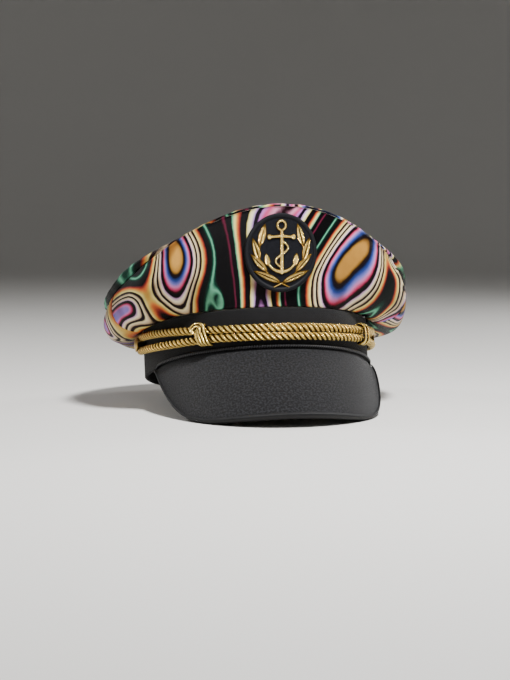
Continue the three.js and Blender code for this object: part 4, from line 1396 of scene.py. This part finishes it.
def bar(name, points, widths, tall=RELIEF, slant=0.15):
    """A raised bar through points, in badge radii, with rounded ends."""
    points = np.array(points, dtype=float)
    far = np.concatenate([[0], np.cumsum(np.linalg.norm(np.diff(points, axis=0), axis=1))])
    marks = np.linspace(0, far[-1], max(int(far[-1] * 60), 8))
    path = np.stack([np.interp(marks, far, points[:, i]) for i in range(2)], axis=1)
    width = np.interp(marks / far[-1], np.linspace(0, 1, len(widths)), widths)
    forward = np.gradient(path, axis=0)
    forward = forward / np.linalg.norm(forward, axis=1, keepdims=True)
    square = np.stack([-forward[:, 1], forward[:, 0]], axis=1)
    end = np.minimum(marks, far[-1] - marks)
    close = np.sqrt(np.clip(1 - np.clip(1 - end / (width / 2), 0, 1) ** 2, 0.0004, 1))
    off = np.linspace(-1, 1, 13)[None, :]
    half = (width * close / 2)[:, None]
    x = path[:, :1] + square[:, :1] * off * half
    y = path[:, 1:] + square[:, 1:] * off * half
    height = tall * np.sqrt(np.clip(1 - off**2, 0, 1)) * close[:, None]
    across = off * half * BADGE_RADIUS
    along = np.broadcast_to(marks[:, None], across.shape) * BADGE_RADIUS + slant * across
    return relief(name, x, y, height, across, along)


def arc(x, y, radius, start, end):
    """Points of an arc round x and y, from one angle in degrees to another."""
    turn = np.radians(np.linspace(start, end, 49))
    return np.stack([x + radius * np.cos(turn), y + radius * np.sin(turn)], axis=1)


def disc(name, x, y, radius, tall):
    """A raised round boss."""
    near, turn = np.meshgrid(np.linspace(1, 0.01, 9), np.linspace(0, 2 * np.pi, 33), indexing="ij")
    off_x, off_y = near * np.cos(turn) * radius, near * np.sin(turn) * radius
    height = tall * np.sqrt(np.clip(1 - near**2, 0, 1))
    return relief(name, x + off_x, y + off_y, height, off_x * BADGE_RADIUS, off_y * BADGE_RADIUS)


rope_share = np.linspace(0, 1, 60)
rope_line = np.stack([0.17 * np.sin(2 * np.pi * rope_share), 0.3 - 0.68 * rope_share], axis=1)


def fluke(name, hand):
    """The pointed end of an arm."""
    end = math.radians(ARM_END)
    x, y = ARM_RADIUS * math.cos(end), ARM_MIDDLE - ARM_RADIUS * math.sin(end)
    return leaf(name, (hand * x, y - 0.08), (hand * (x + 0.055), y + 0.25), 0.17, RELIEF, 0.2)


arms = arc(0, ARM_MIDDLE, ARM_RADIUS, ARM_END - 180, -ARM_END)
anchor = joined(
    "badge_anchor_embroidery",
    [
        bar("ring", arc(0, 0.69, 0.115, -90, 270), [0.08], RELIEF * 0.95),
        bar("shank", [(0, 0.59), (0, -0.56)], [0.095, 0.11, 0.13], RELIEF * 1.05),
        bar("stock", [(-0.32, 0.395), (0, 0.42), (0.32, 0.395)], [0.08, 0.1, 0.08], RELIEF * 0.95),
        disc("ball_right", -0.33, 0.4, 0.075, RELIEF),
        disc("ball_left", 0.33, 0.4, 0.075, RELIEF),
        bar("arms", arms, [0.07, 0.12, 0.07], RELIEF),
        fluke("fluke_right", -1),
        fluke("fluke_left", 1),
        bar("rope", rope_line, [0.065], RELIEF * 1.25, 0.9),
    ],
)
anchor.data.materials.append(badge_gold)
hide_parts("badge_anchor")
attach(anchor, "root")

# Foot and tip of each leaf on the wearer's left, and its width, in badge radii.
LEAVES = [
    ((0.03, -0.75), (0.76, -0.455), 0.19),
    ((0.39, -0.48), (0.84, -0.03), 0.19),
    ((0.6, -0.2), (0.78, 0.38), 0.21),
    ((0.6, 0.17), (0.44, 0.74), 0.21),
]
STEM = [(0.2, -0.68), (0.38, -0.52), (0.51, -0.35), (0.6, -0.15), (0.62, 0.03), (0.58, 0.22)]
for hand, name in ((1, "left"), (-1, "right")):
    shapes = [bar("stem", [(hand * x, y) for x, y in STEM], [0.045], RELIEF * 0.6)]
    tail = [(hand * 0.04, -0.755), (hand * -0.1, -0.82), (hand * -0.23, -0.88)]
    shapes.append(bar("tail", tail, [0.05, 0.06, 0.045], RELIEF * (0.8 if hand > 0 else 0.65)))
    for number, (foot, tip, width) in enumerate(LEAVES):
        ends = (hand * foot[0], foot[1]), (hand * tip[0], tip[1])
        shapes.append(leaf(f"leaf_{number}", *ends, width))
    spray = joined(f"badge_spray_{name}_embroidery", shapes)
    spray.data.materials.append(badge_gold)
    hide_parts(f"badge_spray_{name}")
    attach(spray, "root")

# Floor, lights and camera
# A plain pale floor that sweeps up into a round backdrop, a soft light above and in front, weak
# ones from each side, and the camera at the height and angle of a low product shot.
SWEEP_START = 2.6
SWEEP_RADIUS = 1.4
SWEEP_TOP = 4.5
SWEEP_STEPS = 96
SKY_COLOUR = (0.86, 0.88, 0.9, 1)
SKY_STRENGTH = 0.05
bends = np.linspace(0, math.pi / 2, 13)
outline = [(0.02, 0.0), (0.6, 0.0), (1.4, 0.0)]
outline += [(SWEEP_START + SWEEP_RADIUS * math.sin(b), SWEEP_RADIUS * (1 - math.cos(b))) for b in bends]
outline.append((SWEEP_START + SWEEP_RADIUS, SWEEP_TOP))
spots, faces = [(0.0, 0.0, 0.0)], []
for radius, height in outline:
    for step in range(SWEEP_STEPS):
        spin = 2 * math.pi * step / SWEEP_STEPS
        spots.append((radius * math.cos(spin), radius * math.sin(spin), height))
for step in range(SWEEP_STEPS):
    faces.append((0, 1 + step, 1 + (step + 1) % SWEEP_STEPS))
    for ring in range(len(outline) - 1):
        low, high = 1 + ring * SWEEP_STEPS, 1 + (ring + 1) * SWEEP_STEPS
        after = (step + 1) % SWEEP_STEPS
        faces.append((low + step, high + step, high + after, low + after))
floor_mesh = bpy.data.meshes.new("floor")
floor_mesh.from_pydata(spots, [], faces)
floor_mesh.polygons.foreach_set("use_smooth", np.ones(len(faces), dtype=bool))
floor = placed("floor", floor_mesh)
floor_paint, shader = finish("pale_floor", roughness=0.6)
shader.inputs["Base Color"].default_value = ink("#d9d7d3")
floor_mesh.materials.append(floor_paint)
floor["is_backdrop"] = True

sky = bpy.data.worlds.new("studio")
sky.use_nodes = True
sky.node_tree.nodes["Background"].inputs["Color"].default_value = SKY_COLOUR
sky.node_tree.nodes["Background"].inputs["Strength"].default_value = SKY_STRENGTH
bpy.context.scene.world = sky

# Each light's place and aim in metres, size in metres and power in watts.
LIGHTS = [
    ("key", (0.15, -0.46, 0.92), (0, -0.08, 0.07), 0.15, 26),
    ("front", (-0.1, -1.5, 0.8), (0, -0.05, 0.08), 0.5, 3),
    ("left_edge", (-1.1, 0.75, 0.8), (0, 0, 0.08), 0.4, 9),
    ("right_edge", (1.1, 0.65, 0.7), (0, 0, 0.08), 0.4, 9),
]
for name, place, aim, size, power in LIGHTS:
    lamp = bpy.data.lights.new(name, "AREA")
    lamp.size = size
    lamp.energy = power
    stand = placed(name, lamp)
    stand.location = place
    stand.rotation_euler = (Vector(aim) - Vector(place)).to_track_quat("-Z", "Y").to_euler()

CAMERA_PLACE = Vector((-0.2542, -1.3436, 0.1561))
CAMERA_TURN = math.radians(10.53)
CAMERA_DIP = math.radians(5.42)
CAMERA_LENS = 94.24
FLOOR_TURN = math.radians(0.988)
view = bpy.data.cameras.new("camera")
view.lens = CAMERA_LENS
camera = placed("camera", view)
aim = Matrix.Rotation(FLOOR_TURN, 3, "X") @ Vector((
    math.cos(CAMERA_DIP) * math.sin(CAMERA_TURN),
    math.cos(CAMERA_DIP) * math.cos(CAMERA_TURN),
    -math.sin(CAMERA_DIP),
))
right = Matrix.Rotation(FLOOR_TURN, 3, "X") @ Vector(
    (math.cos(CAMERA_TURN), -math.sin(CAMERA_TURN), 0)
)
up = right.cross(aim)
camera.matrix_world = Matrix.Translation(CAMERA_PLACE) @ Matrix((right, up, -aim)).transposed().to_4x4()
bpy.context.scene.camera = camera

whole_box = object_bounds()
boxes = {"cad": cad_box, "visual": whole_box}
{name: [list(corner) for corner in box] for name, box in boxes.items()}
